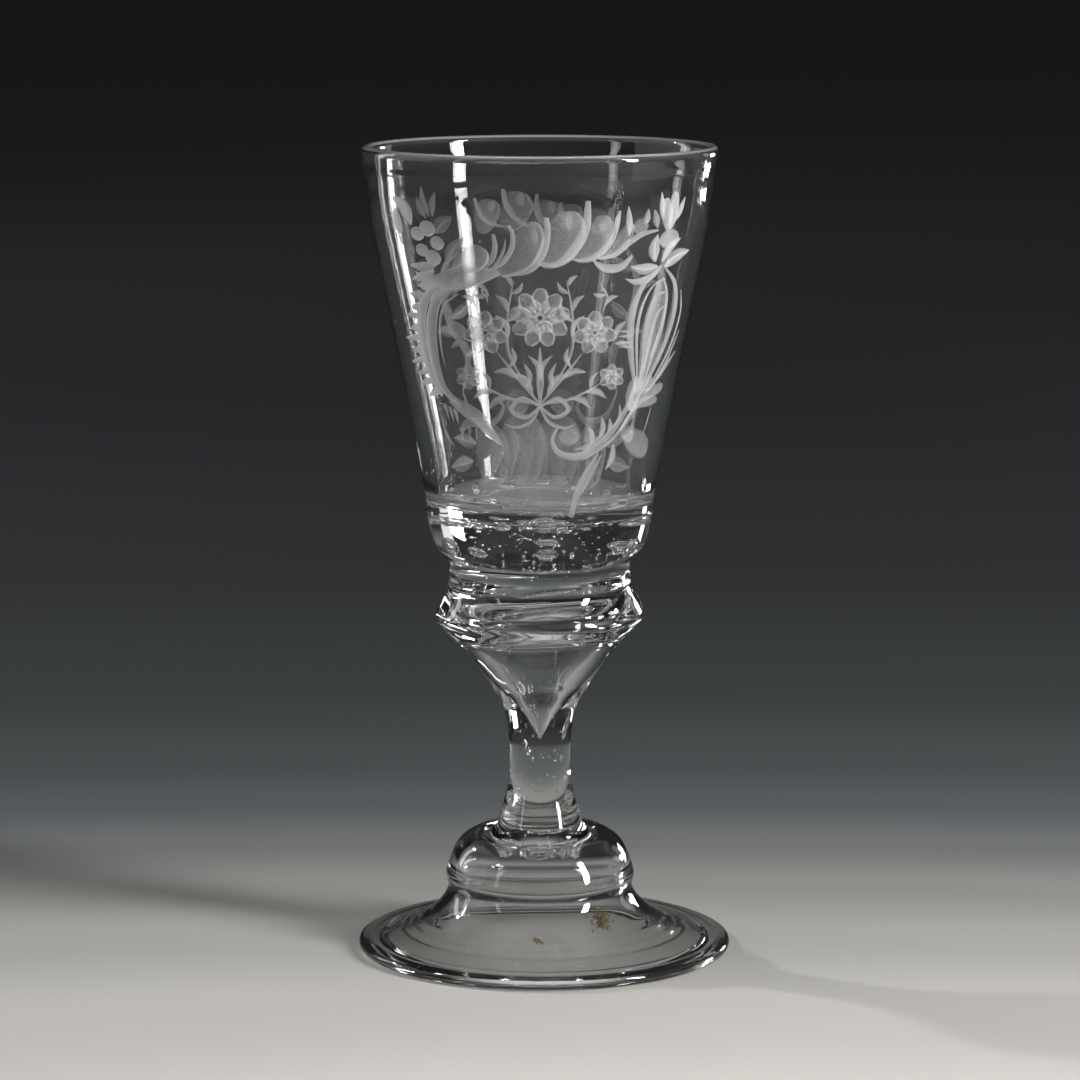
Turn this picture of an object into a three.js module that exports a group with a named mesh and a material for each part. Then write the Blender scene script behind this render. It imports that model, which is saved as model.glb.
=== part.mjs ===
// A hand-blown clear glass goblet: a conical bowl on a thick base, a collar and a shoulder knop,
// an inverted baluster stem with an air tear, and a domed foot with a folded rim.
// Millimetres, +Z up. The origin is on the axis of the glass, at the table that the foot stands on.
import * as THREE from "three";

// Turning: facets round the axis, steps along each curve, and the hairline left at each fused seam.
const FACETS = 40;
const CURVE_STEPS = 3;
const SEAM_GAP = 0.02;

// Foot: a blown dome on a sloping brim, whose rim is folded under to double thickness.
const FOOT_HEIGHT = 33.25;
const FOOT_RADIUS = 48.7;
const FOOT_EDGE_THICKNESS = 2.7;
const FOLD_WIDTH = 8;
const FOLD_BEVEL = 0.8;
const BRIM_THICKNESS = 2.2;
const BRIM_FOLD_HEIGHT = 3.9;
const BRIM_MID_RADIUS = 33;
const BRIM_MID_HEIGHT = 6.7;
const FLARE_RADIUS = 27;
const FLARE_HEIGHT = 11.2;
const WAIST_RADIUS = 24.1;
const WAIST_HEIGHT = 16;
const DOME_RADIUS = 24.5;
const DOME_WIDEST_HEIGHT = 20.6;
const DOME_SHOULDER_RADIUS = 20.5;
const DOME_SHOULDER_HEIGHT = 28.8;
const DOME_WALL = 2.9;
const CROWN_THICKNESS = 4.5;

// Pontil scar: the broken wad of glass left under the crown of the foot.
const SCAR_RADIUS = 12;
const SCAR_THICKNESS = 2.8;
const SCAR_ROUGHNESS = 0.7;
const SCAR_MARGIN = 1;
const SCAR_FACETS = 20;
const SCAR_EDGE_WAVES = 5;
const SCAR_FACE_WAVES = 3;

// Stem: an inverted baluster, solid below, with a long air tear that widens up through its shoulder.
const STEM_HEIGHT = 48;
const STEM_FOOT_RADIUS = 11.1;
const STEM_SHAFT_RADIUS = 8.4;
const STEM_SHAFT_HEIGHT = 9.6;
const STEM_NECK_RADIUS = 7.95;
const STEM_NECK_HEIGHT = 18.75;
const STEM_SWELL_RADIUS = 8.85;
const STEM_SWELL_HEIGHT = 27.4;
const STEM_THROAT_RADIUS = 12.6;
const STEM_THROAT_DROP = 12.1;
const STEM_SHOULDER_RADIUS = 17.6;
const STEM_SHOULDER_DROP = 4.3;
const STEM_TOP_RADIUS = 21.4;
const TEAR_MOUTH_RADIUS = 14;
const TEAR_HIGH_RADIUS = 11;
const TEAR_HIGH_DEPTH = 4.3;
const TEAR_MID_RADIUS = 5.7;
const TEAR_MID_DEPTH = 11.6;
const TEAR_LOW_RADIUS = 1.4;
const TEAR_LOW_DEPTH = 19.2;
const TEAR_DEPTH = 25.6;

// Shoulder knop: a flattened knop on top of the stem. The tear swells up into it, under a shallow roof.
const KNOP_HEIGHT = 12.25;
const KNOP_RADIUS = 27.2;
const KNOP_CHIN_RADIUS = 25.7;
const KNOP_CHIN_HEIGHT = 4.1;
const KNOP_WIDEST_HEIGHT = 7;
const KNOP_BROW_RADIUS = 26;
const KNOP_BROW_HEIGHT = 10;
const CHAMBER_RADIUS = 16.8;
const CHAMBER_HEIGHT = 5;
const CHAMBER_BROW_RADIUS = 11.6;
const CHAMBER_BROW_HEIGHT = 8.6;
const CHAMBER_ROOF_HEIGHT = 9.7;

// Neck collar: a short solid drum with a slight waist.
const COLLAR_HEIGHT = 9;
const COLLAR_BOTTOM_RADIUS = 24.6;
const COLLAR_WAIST_RADIUS = 23.5;
const COLLAR_TOP_RADIUS = 23.3;

// Bowl base: the thick second gather, with a crisp ledge round the foot of the bowl.
const BASE_HEIGHT = 13.5;
const BASE_HEEL_RADIUS = 25.9;
const BASE_HEEL_HEIGHT = 2.6;
const BASE_SIDE_RADIUS = 28.3;
const BASE_SIDE_HEIGHT = 7.6;
const BASE_LEDGE = 0.4;
const BASE_LEDGE_ROUND = 0.5;

// Bowl: a blown cone with a dished floor and a rounded, slightly proud lip.
const BOWL_HEIGHT = 93.9;
const BOWL_BASE_RADIUS = 29.1;
const BOWL_LOW_RADIUS = 32.2;
const BOWL_LOW_HEIGHT = 18;
const BOWL_HIGH_RADIUS = 42.5;
const BOWL_HIGH_HEIGHT = 70;
const BOWL_RIM_RADIUS = 45.9;
const BOWL_FLOOR = 1;
const BOWL_FLOOR_DISH = 5;
const WALL_AT_BASE = 2.6;
const WALL_LOW = 3.8;
const WALL_HIGH = 2.9;
const LIP_THICKNESS = 3.1;
const LIP_ROUND = 1.9;
const LIP_BAND = 6.4;
const LIP_PROUD = 0.3;

const QUARTER_TURN = Math.PI / 2;

function clearGlass() {
  return new THREE.MeshStandardMaterial({
    color: 0xe9edf0,
    roughness: 0.05,
    metalness: 0,
    transparent: true,
    opacity: 0.4,
  });
}

function at(radius, height) {
  return new THREE.Vector2(radius, height);
}

// A solid of revolution about +Z, from a half section that starts and ends on the axis.
function turned(name, section, facets = FACETS) {
  const lathe = new THREE.LatheGeometry(section.getPoints(CURVE_STEPS), facets);
  lathe.rotateX(QUARTER_TURN);
  const piece = new THREE.Mesh(lathe, clearGlass());
  piece.name = name;
  return piece;
}

function domedFoot() {
  const foldRadius = FOOT_RADIUS - FOLD_WIDTH;
  const edgeRound = FOOT_EDGE_THICKNESS / 2;
  const restRadius = FOOT_RADIUS - edgeRound;
  const crownUnderside = FOOT_HEIGHT - CROWN_THICKNESS;
  const scarSeat = SCAR_RADIUS + SCAR_MARGIN;
  const hollowRadius = DOME_RADIUS - DOME_WALL;
  const flareStep = BRIM_THICKNESS * Math.SQRT1_2;

  const section = new THREE.Path();
  section.moveTo(0, crownUnderside);
  section.lineTo(scarSeat, crownUnderside);
  section.absellipse(
    scarSeat,
    DOME_WIDEST_HEIGHT,
    hollowRadius - scarSeat,
    crownUnderside - DOME_WIDEST_HEIGHT,
    QUARTER_TURN,
    0,
    true,
  );
  section.splineThru([
    at(WAIST_RADIUS - DOME_WALL, WAIST_HEIGHT),
    at(FLARE_RADIUS - flareStep, FLARE_HEIGHT - flareStep),
    at(BRIM_MID_RADIUS, BRIM_MID_HEIGHT - BRIM_THICKNESS),
    at(foldRadius, BRIM_FOLD_HEIGHT - BRIM_THICKNESS),
  ]);
  section.lineTo(foldRadius + FOLD_BEVEL, 0);
  section.lineTo(restRadius, 0);
  section.absarc(restRadius, edgeRound, edgeRound, -QUARTER_TURN, QUARTER_TURN, false);
  section.splineThru([
    at(foldRadius, BRIM_FOLD_HEIGHT),
    at(BRIM_MID_RADIUS, BRIM_MID_HEIGHT),
    at(FLARE_RADIUS, FLARE_HEIGHT),
    at(WAIST_RADIUS, WAIST_HEIGHT),
    at(DOME_RADIUS, DOME_WIDEST_HEIGHT),
    at(DOME_SHOULDER_RADIUS, DOME_SHOULDER_HEIGHT),
    at(STEM_FOOT_RADIUS, FOOT_HEIGHT),
  ]);
  section.lineTo(0, FOOT_HEIGHT);
  return turned("domed_foot", section);
}

// The wad hangs below its flat top. Everything but that top is pushed about by slow waves round it.
function pontilScar() {
  const section = new THREE.Path();
  section.moveTo(0, -SCAR_THICKNESS);
  section.lineTo(SCAR_RADIUS / 2, -SCAR_THICKNESS);
  section.lineTo(SCAR_RADIUS - SCAR_ROUGHNESS, -SCAR_THICKNESS / 2);
  section.lineTo(SCAR_RADIUS - SCAR_ROUGHNESS, 0);
  section.lineTo(0, 0);
  const scar = turned("pontil_scar", section, SCAR_FACETS);

  const vertices = scar.geometry.getAttribute("position");
  for (let i = 0; i < vertices.count; i += 1) {
    const x = vertices.getX(i);
    const y = vertices.getY(i);
    const z = vertices.getZ(i);
    const radius = Math.hypot(x, y);
    if (radius > 0 && z < -SEAM_GAP) {
      const turn = Math.atan2(y, x);
      const outward = (SCAR_ROUGHNESS * Math.sin(SCAR_EDGE_WAVES * turn + z)) / radius;
      const lift = SCAR_ROUGHNESS * Math.sin(SCAR_FACE_WAVES * turn + radius);
      vertices.setXYZ(i, x * (1 + outward), y * (1 + outward), z + lift);
    }
  }
  return scar;
}

function balusterStem() {
  const section = new THREE.Path();
  section.moveTo(0, 0);
  section.lineTo(STEM_FOOT_RADIUS, 0);
  section.splineThru([
    at(STEM_SHAFT_RADIUS, STEM_SHAFT_HEIGHT),
    at(STEM_NECK_RADIUS, STEM_NECK_HEIGHT),
    at(STEM_SWELL_RADIUS, STEM_SWELL_HEIGHT),
    at(STEM_THROAT_RADIUS, STEM_HEIGHT - STEM_THROAT_DROP),
    at(STEM_SHOULDER_RADIUS, STEM_HEIGHT - STEM_SHOULDER_DROP),
    at(STEM_TOP_RADIUS, STEM_HEIGHT),
  ]);
  section.lineTo(TEAR_MOUTH_RADIUS, STEM_HEIGHT);
  section.splineThru([
    at(TEAR_HIGH_RADIUS, STEM_HEIGHT - TEAR_HIGH_DEPTH),
    at(TEAR_MID_RADIUS, STEM_HEIGHT - TEAR_MID_DEPTH),
    at(TEAR_LOW_RADIUS, STEM_HEIGHT - TEAR_LOW_DEPTH),
    at(0, STEM_HEIGHT - TEAR_DEPTH),
  ]);
  return turned("baluster_stem", section);
}

function shoulderKnop() {
  const section = new THREE.Path();
  section.moveTo(0, CHAMBER_ROOF_HEIGHT);
  section.splineThru([
    at(CHAMBER_BROW_RADIUS, CHAMBER_BROW_HEIGHT),
    at(CHAMBER_RADIUS, CHAMBER_HEIGHT),
    at(TEAR_MOUTH_RADIUS, 0),
  ]);
  section.lineTo(STEM_TOP_RADIUS, 0);
  section.splineThru([
    at(KNOP_CHIN_RADIUS, KNOP_CHIN_HEIGHT),
    at(KNOP_RADIUS, KNOP_WIDEST_HEIGHT),
    at(KNOP_BROW_RADIUS, KNOP_BROW_HEIGHT),
    at(COLLAR_BOTTOM_RADIUS, KNOP_HEIGHT),
  ]);
  section.lineTo(0, KNOP_HEIGHT);
  return turned("shoulder_knop", section);
}

function neckCollar() {
  const section = new THREE.Path();
  section.moveTo(0, 0);
  section.lineTo(COLLAR_BOTTOM_RADIUS, 0);
  section.splineThru([
    at(COLLAR_WAIST_RADIUS, COLLAR_HEIGHT / 2),
    at(COLLAR_TOP_RADIUS, COLLAR_HEIGHT),
  ]);
  section.lineTo(0, COLLAR_HEIGHT);
  return turned("neck_collar", section);
}

function bowlBase() {
  const ledgeRadius = BOWL_BASE_RADIUS + BASE_LEDGE;
  const section = new THREE.Path();
  section.moveTo(0, 0);
  section.lineTo(COLLAR_TOP_RADIUS, 0);
  section.splineThru([
    at(BASE_HEEL_RADIUS, BASE_HEEL_HEIGHT),
    at(BASE_SIDE_RADIUS, BASE_SIDE_HEIGHT),
    at(ledgeRadius, BASE_HEIGHT - BASE_LEDGE_ROUND),
  ]);
  section.quadraticCurveTo(ledgeRadius, BASE_HEIGHT, ledgeRadius - BASE_LEDGE_ROUND, BASE_HEIGHT);
  section.lineTo(0, BASE_HEIGHT);
  return turned("bowl_base", section);
}

function bowl() {
  const lipHeight = BOWL_HEIGHT - LIP_ROUND;
  const lipRound = LIP_THICKNESS / 2;
  const innerBaseRadius = BOWL_BASE_RADIUS - WALL_AT_BASE;
  const section = new THREE.Path();
  section.moveTo(0, 0);
  section.lineTo(BOWL_BASE_RADIUS, 0);
  section.splineThru([
    at(BOWL_LOW_RADIUS, BOWL_LOW_HEIGHT),
    at(BOWL_HIGH_RADIUS, BOWL_HIGH_HEIGHT),
    at(BOWL_RIM_RADIUS - LIP_PROUD, BOWL_HEIGHT - LIP_BAND),
    at(BOWL_RIM_RADIUS, lipHeight),
  ]);
  section.absellipse(BOWL_RIM_RADIUS - lipRound, lipHeight, lipRound, LIP_ROUND, 0, Math.PI, false);
  section.splineThru([
    at(BOWL_HIGH_RADIUS - WALL_HIGH, BOWL_HIGH_HEIGHT),
    at(BOWL_LOW_RADIUS - WALL_LOW, BOWL_LOW_HEIGHT),
    at(innerBaseRadius, BOWL_FLOOR + BOWL_FLOOR_DISH),
  ]);
  section.quadraticCurveTo(innerBaseRadius, BOWL_FLOOR, 0, BOWL_FLOOR);
  return turned("bowl", section);
}

// The pieces from the table up, each with its height, fused one on top of the other.
const stack = [
  [domedFoot(), FOOT_HEIGHT],
  [balusterStem(), STEM_HEIGHT],
  [shoulderKnop(), KNOP_HEIGHT],
  [neckCollar(), COLLAR_HEIGHT],
  [bowlBase(), BASE_HEIGHT],
  [bowl(), BOWL_HEIGHT],
];

const goblet = new THREE.Group();
let seat = 0;
for (const [piece, height] of stack) {
  piece.position.z = seat;
  goblet.add(piece);
  seat += height + SEAM_GAP;
}

const scar = pontilScar();
scar.position.z = FOOT_HEIGHT - CROWN_THICKNESS - SEAM_GAP;
goblet.add(scar);

export default goblet;
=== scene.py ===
import math
import random

import bmesh
import bpy
from mathutils import Matrix, Vector, noise


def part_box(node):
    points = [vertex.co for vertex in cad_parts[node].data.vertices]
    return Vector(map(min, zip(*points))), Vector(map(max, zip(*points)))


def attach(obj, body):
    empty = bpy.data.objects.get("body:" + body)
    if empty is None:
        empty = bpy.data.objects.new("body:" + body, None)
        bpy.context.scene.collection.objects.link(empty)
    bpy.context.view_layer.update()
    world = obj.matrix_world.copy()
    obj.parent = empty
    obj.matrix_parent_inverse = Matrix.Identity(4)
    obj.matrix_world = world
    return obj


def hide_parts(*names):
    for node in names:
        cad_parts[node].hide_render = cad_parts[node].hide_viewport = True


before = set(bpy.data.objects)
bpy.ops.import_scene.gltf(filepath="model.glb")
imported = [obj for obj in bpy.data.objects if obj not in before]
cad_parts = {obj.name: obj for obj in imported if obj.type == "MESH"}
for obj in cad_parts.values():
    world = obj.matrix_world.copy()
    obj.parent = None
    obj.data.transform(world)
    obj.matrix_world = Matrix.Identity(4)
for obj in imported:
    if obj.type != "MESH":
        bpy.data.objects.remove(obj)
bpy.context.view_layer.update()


# Bowl: a cone of clear soda glass, blown from one bubble and sheared to an even height.
# The lip was softened in the furnace, so it is rounded and stands a little proud of the wall.
# Its floor is fused to the gather below it.
MM = 0.001
FULL_TURN = 2 * math.pi
ROUND_STEPS = 200
CREASE = math.radians(20)
GLASS_IOR = 1.5
GLASS_TINT = (0.985, 0.992, 0.99, 1)
WOBBLE = 0.16 * MM
WOBBLES_PER_METRE = 21
BOWL_BASE_RADIUS = 29.1 * MM
BOWL_LOW = (32.2 * MM, 18 * MM)
BOWL_HIGH = (42.5 * MM, 70 * MM)
BOWL_RIM_RADIUS = 45.9 * MM
BOWL_FLOOR = 0.4 * MM
BOWL_FLOOR_DISH = 5 * MM
WALL_AT_BASE = 2.6 * MM
WALL_LOW = 3.8 * MM
WALL_HIGH = 2.9 * MM
LIP_THICKNESS = 3.1 * MM
LIP_ROUND = 1.9 * MM
LIP_NECK = 4.2 * MM
LIP_PROUD = 0.35 * MM
LIP_BAND = 8.7 * MM
LIP_BAND_STEP = 1.25 * MM
LIP_STEPS = 12
# The stretch of the lip's round that carries the painted highlight.
LIP_HIGHLIGHT_FROM = 3
LIP_HIGHLIGHT_TO = 9
FLOOR_SWELL = 0.9 * MM
FLOOR_SWELLS_PER_METRE = 70
FLOOR_RIPPLE = 0.35 * MM
FLOOR_RIPPLES_PER_METRE = 260
FLOOR_WAVE_TOP = 123 * MM
BOWL_BUBBLES = [
    ((0.6, 27.3, 119.4), (2.3, 0.7, 0.9), 0),
    ((-9.4, 25.6, 118.6), (2.6, 0.8, 0.8), 6),
    ((10.2, 25.4, 118.7), (1.8, 0.8, 0.9), -5),
    ((18.4, 20.4, 119.2), (1.9, 1.6, 0.8), 0),
    ((-18.0, 20.8, 119.6), (1.4, 1.3, 1.0), 0),
    ((24.6, 11.6, 118.8), (1.0, 2.4, 1.1), 0),
    ((-24.4, 12.4, 119.4), (1.0, 2.0, 1.0), 0),
    ((27.0, 1.5, 118.2), (0.8, 2.2, 0.8), 0),
    ((-27.0, -1.0, 118.8), (0.8, 2.2, 1.1), 0),
    ((1.0, -27.2, 117.5), (2.5, 0.9, 0.6), 0),
    ((-11.0, -24.6, 117.3), (1.7, 0.8, 0.5), 4),
    ((12.6, -24.2, 117.4), (1.3, 0.8, 0.5), -4),
]
WALL_SEEDS = [
    (12, 29.3 * MM, 90),
    (27, 32.1 * MM, 26),
    (47, 36.2 * MM, 26),
    (67, 40.2 * MM, 30),
]
WALL_SEED_REACH = 0.6 * MM
WALL_SEED_RISE = 4
BUBBLE_STEPS = 20
SEED_SEGMENTS = 8
SEED_RINGS = 5
SEED_RARITY = 4
BOWL_OUTSIDE_STEPS = 12
BOWL_INSIDE_STEPS = 14
BOWL_FLOOR_STEPS = 24
CORD_SCALE = 90
WIPE_SCALE = 40
WIPE_RANGE = (0.5, 0.8)


def smooth_line(points, steps):
    """Points on a smooth line that passes through the given (radius, height) points."""
    last = len(points) - 1
    line = []
    for i in range(last):
        before = Vector(points[max(i - 1, 0)])
        start = Vector(points[i])
        end = Vector(points[i + 1])
        after = Vector(points[min(i + 2, last)])
        leave = (end - before) / 2
        arrive = (after - start) / 2
        for step in range(steps):
            t = step / steps
            line.append(
                start
                + leave * t
                + (3 * (end - start) - 2 * leave - arrive) * t**2
                + (2 * (start - end) + leave + arrive) * t**3
            )
    line.append(Vector(points[last]))
    return [tuple(point) for point in line]


def arc(centre, width, height, first, last, steps):
    """Points on part of an ellipse, from one angle to another in degrees."""
    turns = [math.radians(first + (last - first) * i / steps) for i in range(steps + 1)]
    return [(centre[0] + width * math.cos(a), centre[1] + height * math.sin(a)) for a in turns]


def bend(start, corner, end, steps):
    """Points on a soft bend that leaves start and reaches end along the lines to the corner."""
    return [
        tuple(
            a * (1 - t) ** 2 + 2 * b * t * (1 - t) + c * t**2
            for a, b, c in zip(start, corner, end)
        )
        for t in (i / steps for i in range(steps + 1))
    ]


def raised(outline, seat):
    """The outline moved up to its seat."""
    return [(radius, height + seat) for radius, height in outline]


def off_true(spot):
    """Where free blowing leaves a point: its radius drifts slowly round and up the glass."""
    radius = math.hypot(spot.x, spot.y)
    if radius < MM:
        return spot
    drift = WOBBLE * noise.noise(spot * WOBBLES_PER_METRE)
    grow = 1 + drift / radius
    return Vector((spot.x * grow, spot.y * grow, spot.z))


def shown(name, mesh):
    """A new object in the scene with the given mesh."""
    piece = bpy.data.objects.new(name, mesh)
    bpy.context.collection.objects.link(piece)
    return piece


def turned(name, runs):
    """A closed piece turned about the axis. Each run is (material, outline), from axis to axis."""
    mesh = bpy.data.meshes.new(name)
    body = bmesh.new()
    slots = []
    previous = []
    for material, outline in runs:
        if material not in slots:
            slots.append(material)
            mesh.materials.append(material)
        for radius, height in outline[1 if previous else 0 :]:
            turns = range(ROUND_STEPS if radius > 0 else 1)
            ring = []
            for i in turns:
                angle = FULL_TURN * i / ROUND_STEPS
                spot = Vector((radius * math.cos(angle), radius * math.sin(angle), height))
                ring.append(body.verts.new(off_true(spot)))
            for i in range(ROUND_STEPS if previous else 0):
                corners = []
                for loop, turn in ((previous, i), (previous, i + 1), (ring, i + 1), (ring, i)):
                    corner = loop[turn % len(loop)]
                    if corner not in corners:
                        corners.append(corner)
                face = body.faces.new(corners)
                face.material_index = slots.index(material)
                face.smooth = True
            previous = ring
    bmesh.ops.recalc_face_normals(body, faces=body.faces)
    for edge in body.edges:
        edge.smooth = edge.calc_face_angle() < CREASE
    body.to_mesh(mesh)
    body.free()
    return shown(name, mesh)


def node_maker(tree):
    """A short way to add a node to a tree and set its values or link its sockets."""

    def add(kind, values=None, **settings):
        node = tree.nodes.new(kind)
        for key, value in settings.items():
            setattr(node, key, value)
        for key, value in (values or {}).items():
            if isinstance(value, bpy.types.NodeSocket):
                tree.links.new(value, node.inputs[key])
            else:
                node.inputs[key].default_value = value
        return node

    return add


def maths(add, operation, *values, **settings):
    """The result of a math node."""
    return add("ShaderNodeMath", dict(enumerate(values)), operation=operation, **settings).outputs[0]


def new_material(name):
    """An empty node material and the adder for its nodes."""
    material = bpy.data.materials.new(name)
    material.use_nodes = True
    material.node_tree.nodes.clear()
    return material, node_maker(material.node_tree)


def clear_glass(name, drawn_out, cord_depth, haze, film):
    """Clear hand-made glass: faint cords drawn out in the melt, smears from wiping and a thin diffuse film,
    which paints a faint veil of light over the glass.
    """
    material, add = new_material(name)
    place = add("ShaderNodeTexCoord").outputs["Object"]
    drawn = add("ShaderNodeMapping", {"Vector": place, "Scale": drawn_out}).outputs["Vector"]
    cords = add("ShaderNodeTexNoise", {"Vector": drawn, "Scale": CORD_SCALE, "Detail": 2, "Roughness": 0.4})
    relief = add("ShaderNodeBump", {"Height": cords.outputs["Fac"], "Strength": 1, "Distance": cord_depth})
    wipes = add("ShaderNodeTexNoise", {"Vector": place, "Scale": WIPE_SCALE, "Detail": 4, "Roughness": 0.6})
    least, most = WIPE_RANGE
    rough = add(
        "ShaderNodeMapRange",
        {"Value": wipes.outputs["Fac"], "From Min": least, "From Max": most, "To Min": 0, "To Max": haze},
    )
    surface = add(
        "ShaderNodeBsdfPrincipled",
        {
            "Base Color": GLASS_TINT,
            "IOR": GLASS_IOR,
            "Transmission Weight": 1 - film,
            "Roughness": rough.outputs["Result"],
            "Normal": relief.outputs["Normal"],
        },
    )
    add("ShaderNodeOutputMaterial", {"Surface": surface.outputs["BSDF"]})
    return material


def fused_seam():
    """Where two gathers were fused hot nothing shows, so a seam lets light straight on."""
    material, add = new_material("fused seam")
    through = add("ShaderNodeBsdfTransparent")
    add("ShaderNodeOutputMaterial", {"Surface": through.outputs["BSDF"]})
    return material


def blow_bubbles(piece, glass, bubbles):
    """Adds large bubbles to a piece. Each is its middle and half sizes in mm and its tilt in degrees.
    Their faces point into the air, out of the glass."""
    body = bmesh.new()
    body.from_mesh(piece.data)
    slot = piece.data.materials.find(glass.name)
    for middle, size, tilt in bubbles:
        place = Matrix.Translation(Vector(middle) * MM) @ Matrix.Rotation(math.radians(tilt), 4, "Y")
        place = place @ Matrix.Diagonal((*(Vector(size) * MM), 1))
        made = bmesh.ops.create_uvsphere(
            body, u_segments=BUBBLE_STEPS, v_segments=BUBBLE_STEPS // 2, radius=1, matrix=place
        )
        faces = {face for spot in made["verts"] for face in spot.link_faces}
        bmesh.ops.reverse_faces(body, faces=list(faces))
        for face in faces:
            face.smooth = True
            face.material_index = slot
    body.to_mesh(piece.data)
    body.free()


def worked(piece, tree, inputs):
    """Runs a tree on a piece and keeps the plain mesh that it makes."""
    maker = piece.modifiers.new("maker", "NODES")
    maker.node_group = tree
    for socket in tree.interface.items_tree:
        if socket.name in inputs:
            maker[socket.identifier] = inputs[socket.name]
    ready = bpy.context.evaluated_depsgraph_get()
    plain = bpy.data.meshes.new_from_object(
        piece.evaluated_get(ready), preserve_all_data_layers=True, depsgraph=ready
    )
    piece.modifiers.remove(maker)
    plain.name = piece.name
    piece.data = plain


def new_tree(name, sockets, result):
    """An empty geometry tree with named inputs and one result, its node adder and its inputs."""
    tree = bpy.data.node_groups.new(name, "GeometryNodeTree")
    for title, kind in sockets:
        tree.interface.new_socket(title, in_out="INPUT", socket_type="NodeSocket" + kind)
    tree.interface.new_socket(result, in_out="OUTPUT", socket_type="NodeSocketGeometry")
    add = node_maker(tree)
    return tree, add, add("NodeGroupInput").outputs


def trapped_air():
    """A tree that scatters seeds of air through a piece of glass, between two radii and two heights."""
    sockets = [
        ("Glass", "Geometry"),
        ("Count", "Int"),
        ("Inner Radius", "Float"),
        ("Outer Radius", "Float"),
        ("Bottom", "Float"),
        ("Top", "Float"),
        ("Least Size", "Float"),
        ("Greatest Size", "Float"),
        ("Drawn Out", "Float"),
        ("Seed", "Int"),
        ("Finish", "Material"),
    ]
    tree, add, given = new_tree("trapped air", sockets, "Glass")
    low = add("ShaderNodeCombineXYZ", {"X": given["Inner Radius"], "Z": given["Bottom"]}).outputs[0]
    high = add(
        "ShaderNodeCombineXYZ", {"X": given["Outer Radius"], "Y": FULL_TURN, "Z": given["Top"]}
    ).outputs[0]
    chance = add(
        "FunctionNodeRandomValue", {0: low, 1: high, "Seed": given["Seed"]}, data_type="FLOAT_VECTOR"
    ).outputs[0]
    part = add("ShaderNodeSeparateXYZ", {0: chance}).outputs
    side = maths(add, "COSINE", part["Y"])
    ahead = maths(add, "SINE", part["Y"])
    across = maths(add, "MULTIPLY", side, part["X"])
    along = maths(add, "MULTIPLY", ahead, part["X"])
    spot = add("ShaderNodeCombineXYZ", {"X": across, "Y": along, "Z": part["Z"]}).outputs[0]
    points = add("GeometryNodePoints", {"Count": given["Count"], "Position": spot}).outputs[0]
    luck = add("FunctionNodeRandomValue", {2: 0, 3: 1, "Seed": given["Count"]}, data_type="FLOAT").outputs[1]
    rare = maths(add, "POWER", luck, SEED_RARITY)
    size = add(
        "ShaderNodeMapRange",
        {"Value": rare, "To Min": given["Least Size"], "To Max": given["Greatest Size"]},
    ).outputs["Result"]
    tall = maths(add, "MULTIPLY", size, given["Drawn Out"])
    scale = add("ShaderNodeCombineXYZ", {"X": size, "Y": size, "Z": tall}).outputs[0]
    ball = add(
        "GeometryNodeMeshUVSphere", {"Segments": SEED_SEGMENTS, "Rings": SEED_RINGS, "Radius": 1}
    ).outputs[0]
    seeds = add("GeometryNodeInstanceOnPoints", {"Points": points, "Instance": ball, "Scale": scale})
    plain = add("GeometryNodeRealizeInstances", {"Geometry": seeds.outputs[0]}).outputs[0]
    hollow = add("GeometryNodeFlipFaces", {"Mesh": plain}).outputs[0]
    smooth = add("GeometryNodeSetShadeSmooth", {"Geometry": hollow}).outputs[0]
    finished = add("GeometryNodeSetMaterial", {"Geometry": smooth, "Material": given["Finish"]}).outputs[0]
    whole = add("GeometryNodeJoinGeometry", {0: finished})
    tree.links.new(given["Glass"], whole.inputs[0])
    add("NodeGroupOutput", {"Glass": whole.outputs[0]})
    return tree


seam = fused_seam()
air_tree = trapped_air()


def scatter_seeds(piece, glass, count, radii, heights, sizes, drawn_out, seed):
    """Scatters seeds of air through a piece of glass, between two radii, two heights and two sizes."""
    worked(
        piece,
        air_tree,
        {
            "Count": count,
            "Inner Radius": radii[0],
            "Outer Radius": radii[1],
            "Bottom": heights[0],
            "Top": heights[1],
            "Least Size": sizes[0],
            "Greatest Size": sizes[1],
            "Drawn Out": drawn_out,
            "Seed": seed,
            "Finish": glass,
        },
    )


bowl_glass = clear_glass("bowl glass", drawn_out=(1, 1, 0.25), cord_depth=0.02 * MM, haze=0.01, film=0.007)
# The top of the lip has more roughness and a heavy diffuse film. The film is a painted highlight, so the
# rounded lip shows as a bright band.
lip_highlight_glass = clear_glass("worn lip glass", drawn_out=(1, 1, 0.25), cord_depth=0.02 * MM, haze=0.25, film=0.2)
floor_glass = clear_glass("seedy floor glass", drawn_out=(1, 1, 1), cord_depth=0.05 * MM, haze=0.05, film=0.1)
bowl_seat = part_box("bowl")[0].z
bowl_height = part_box("bowl")[1].z - bowl_seat
bowl_lip = bowl_height - LIP_ROUND
bowl_inner_base = BOWL_BASE_RADIUS - WALL_AT_BASE
bowl_outside = smooth_line(
    [
        (BOWL_BASE_RADIUS, 0),
        BOWL_LOW,
        BOWL_HIGH,
        (BOWL_RIM_RADIUS - LIP_BAND_STEP, bowl_height - LIP_BAND),
        (BOWL_RIM_RADIUS - LIP_PROUD, bowl_height - LIP_NECK),
        (BOWL_RIM_RADIUS, bowl_lip),
    ],
    BOWL_OUTSIDE_STEPS,
)
bowl_mouth = arc(
    (BOWL_RIM_RADIUS - LIP_THICKNESS / 2, bowl_lip), LIP_THICKNESS / 2, LIP_ROUND, 0, 180, LIP_STEPS
)
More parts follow.
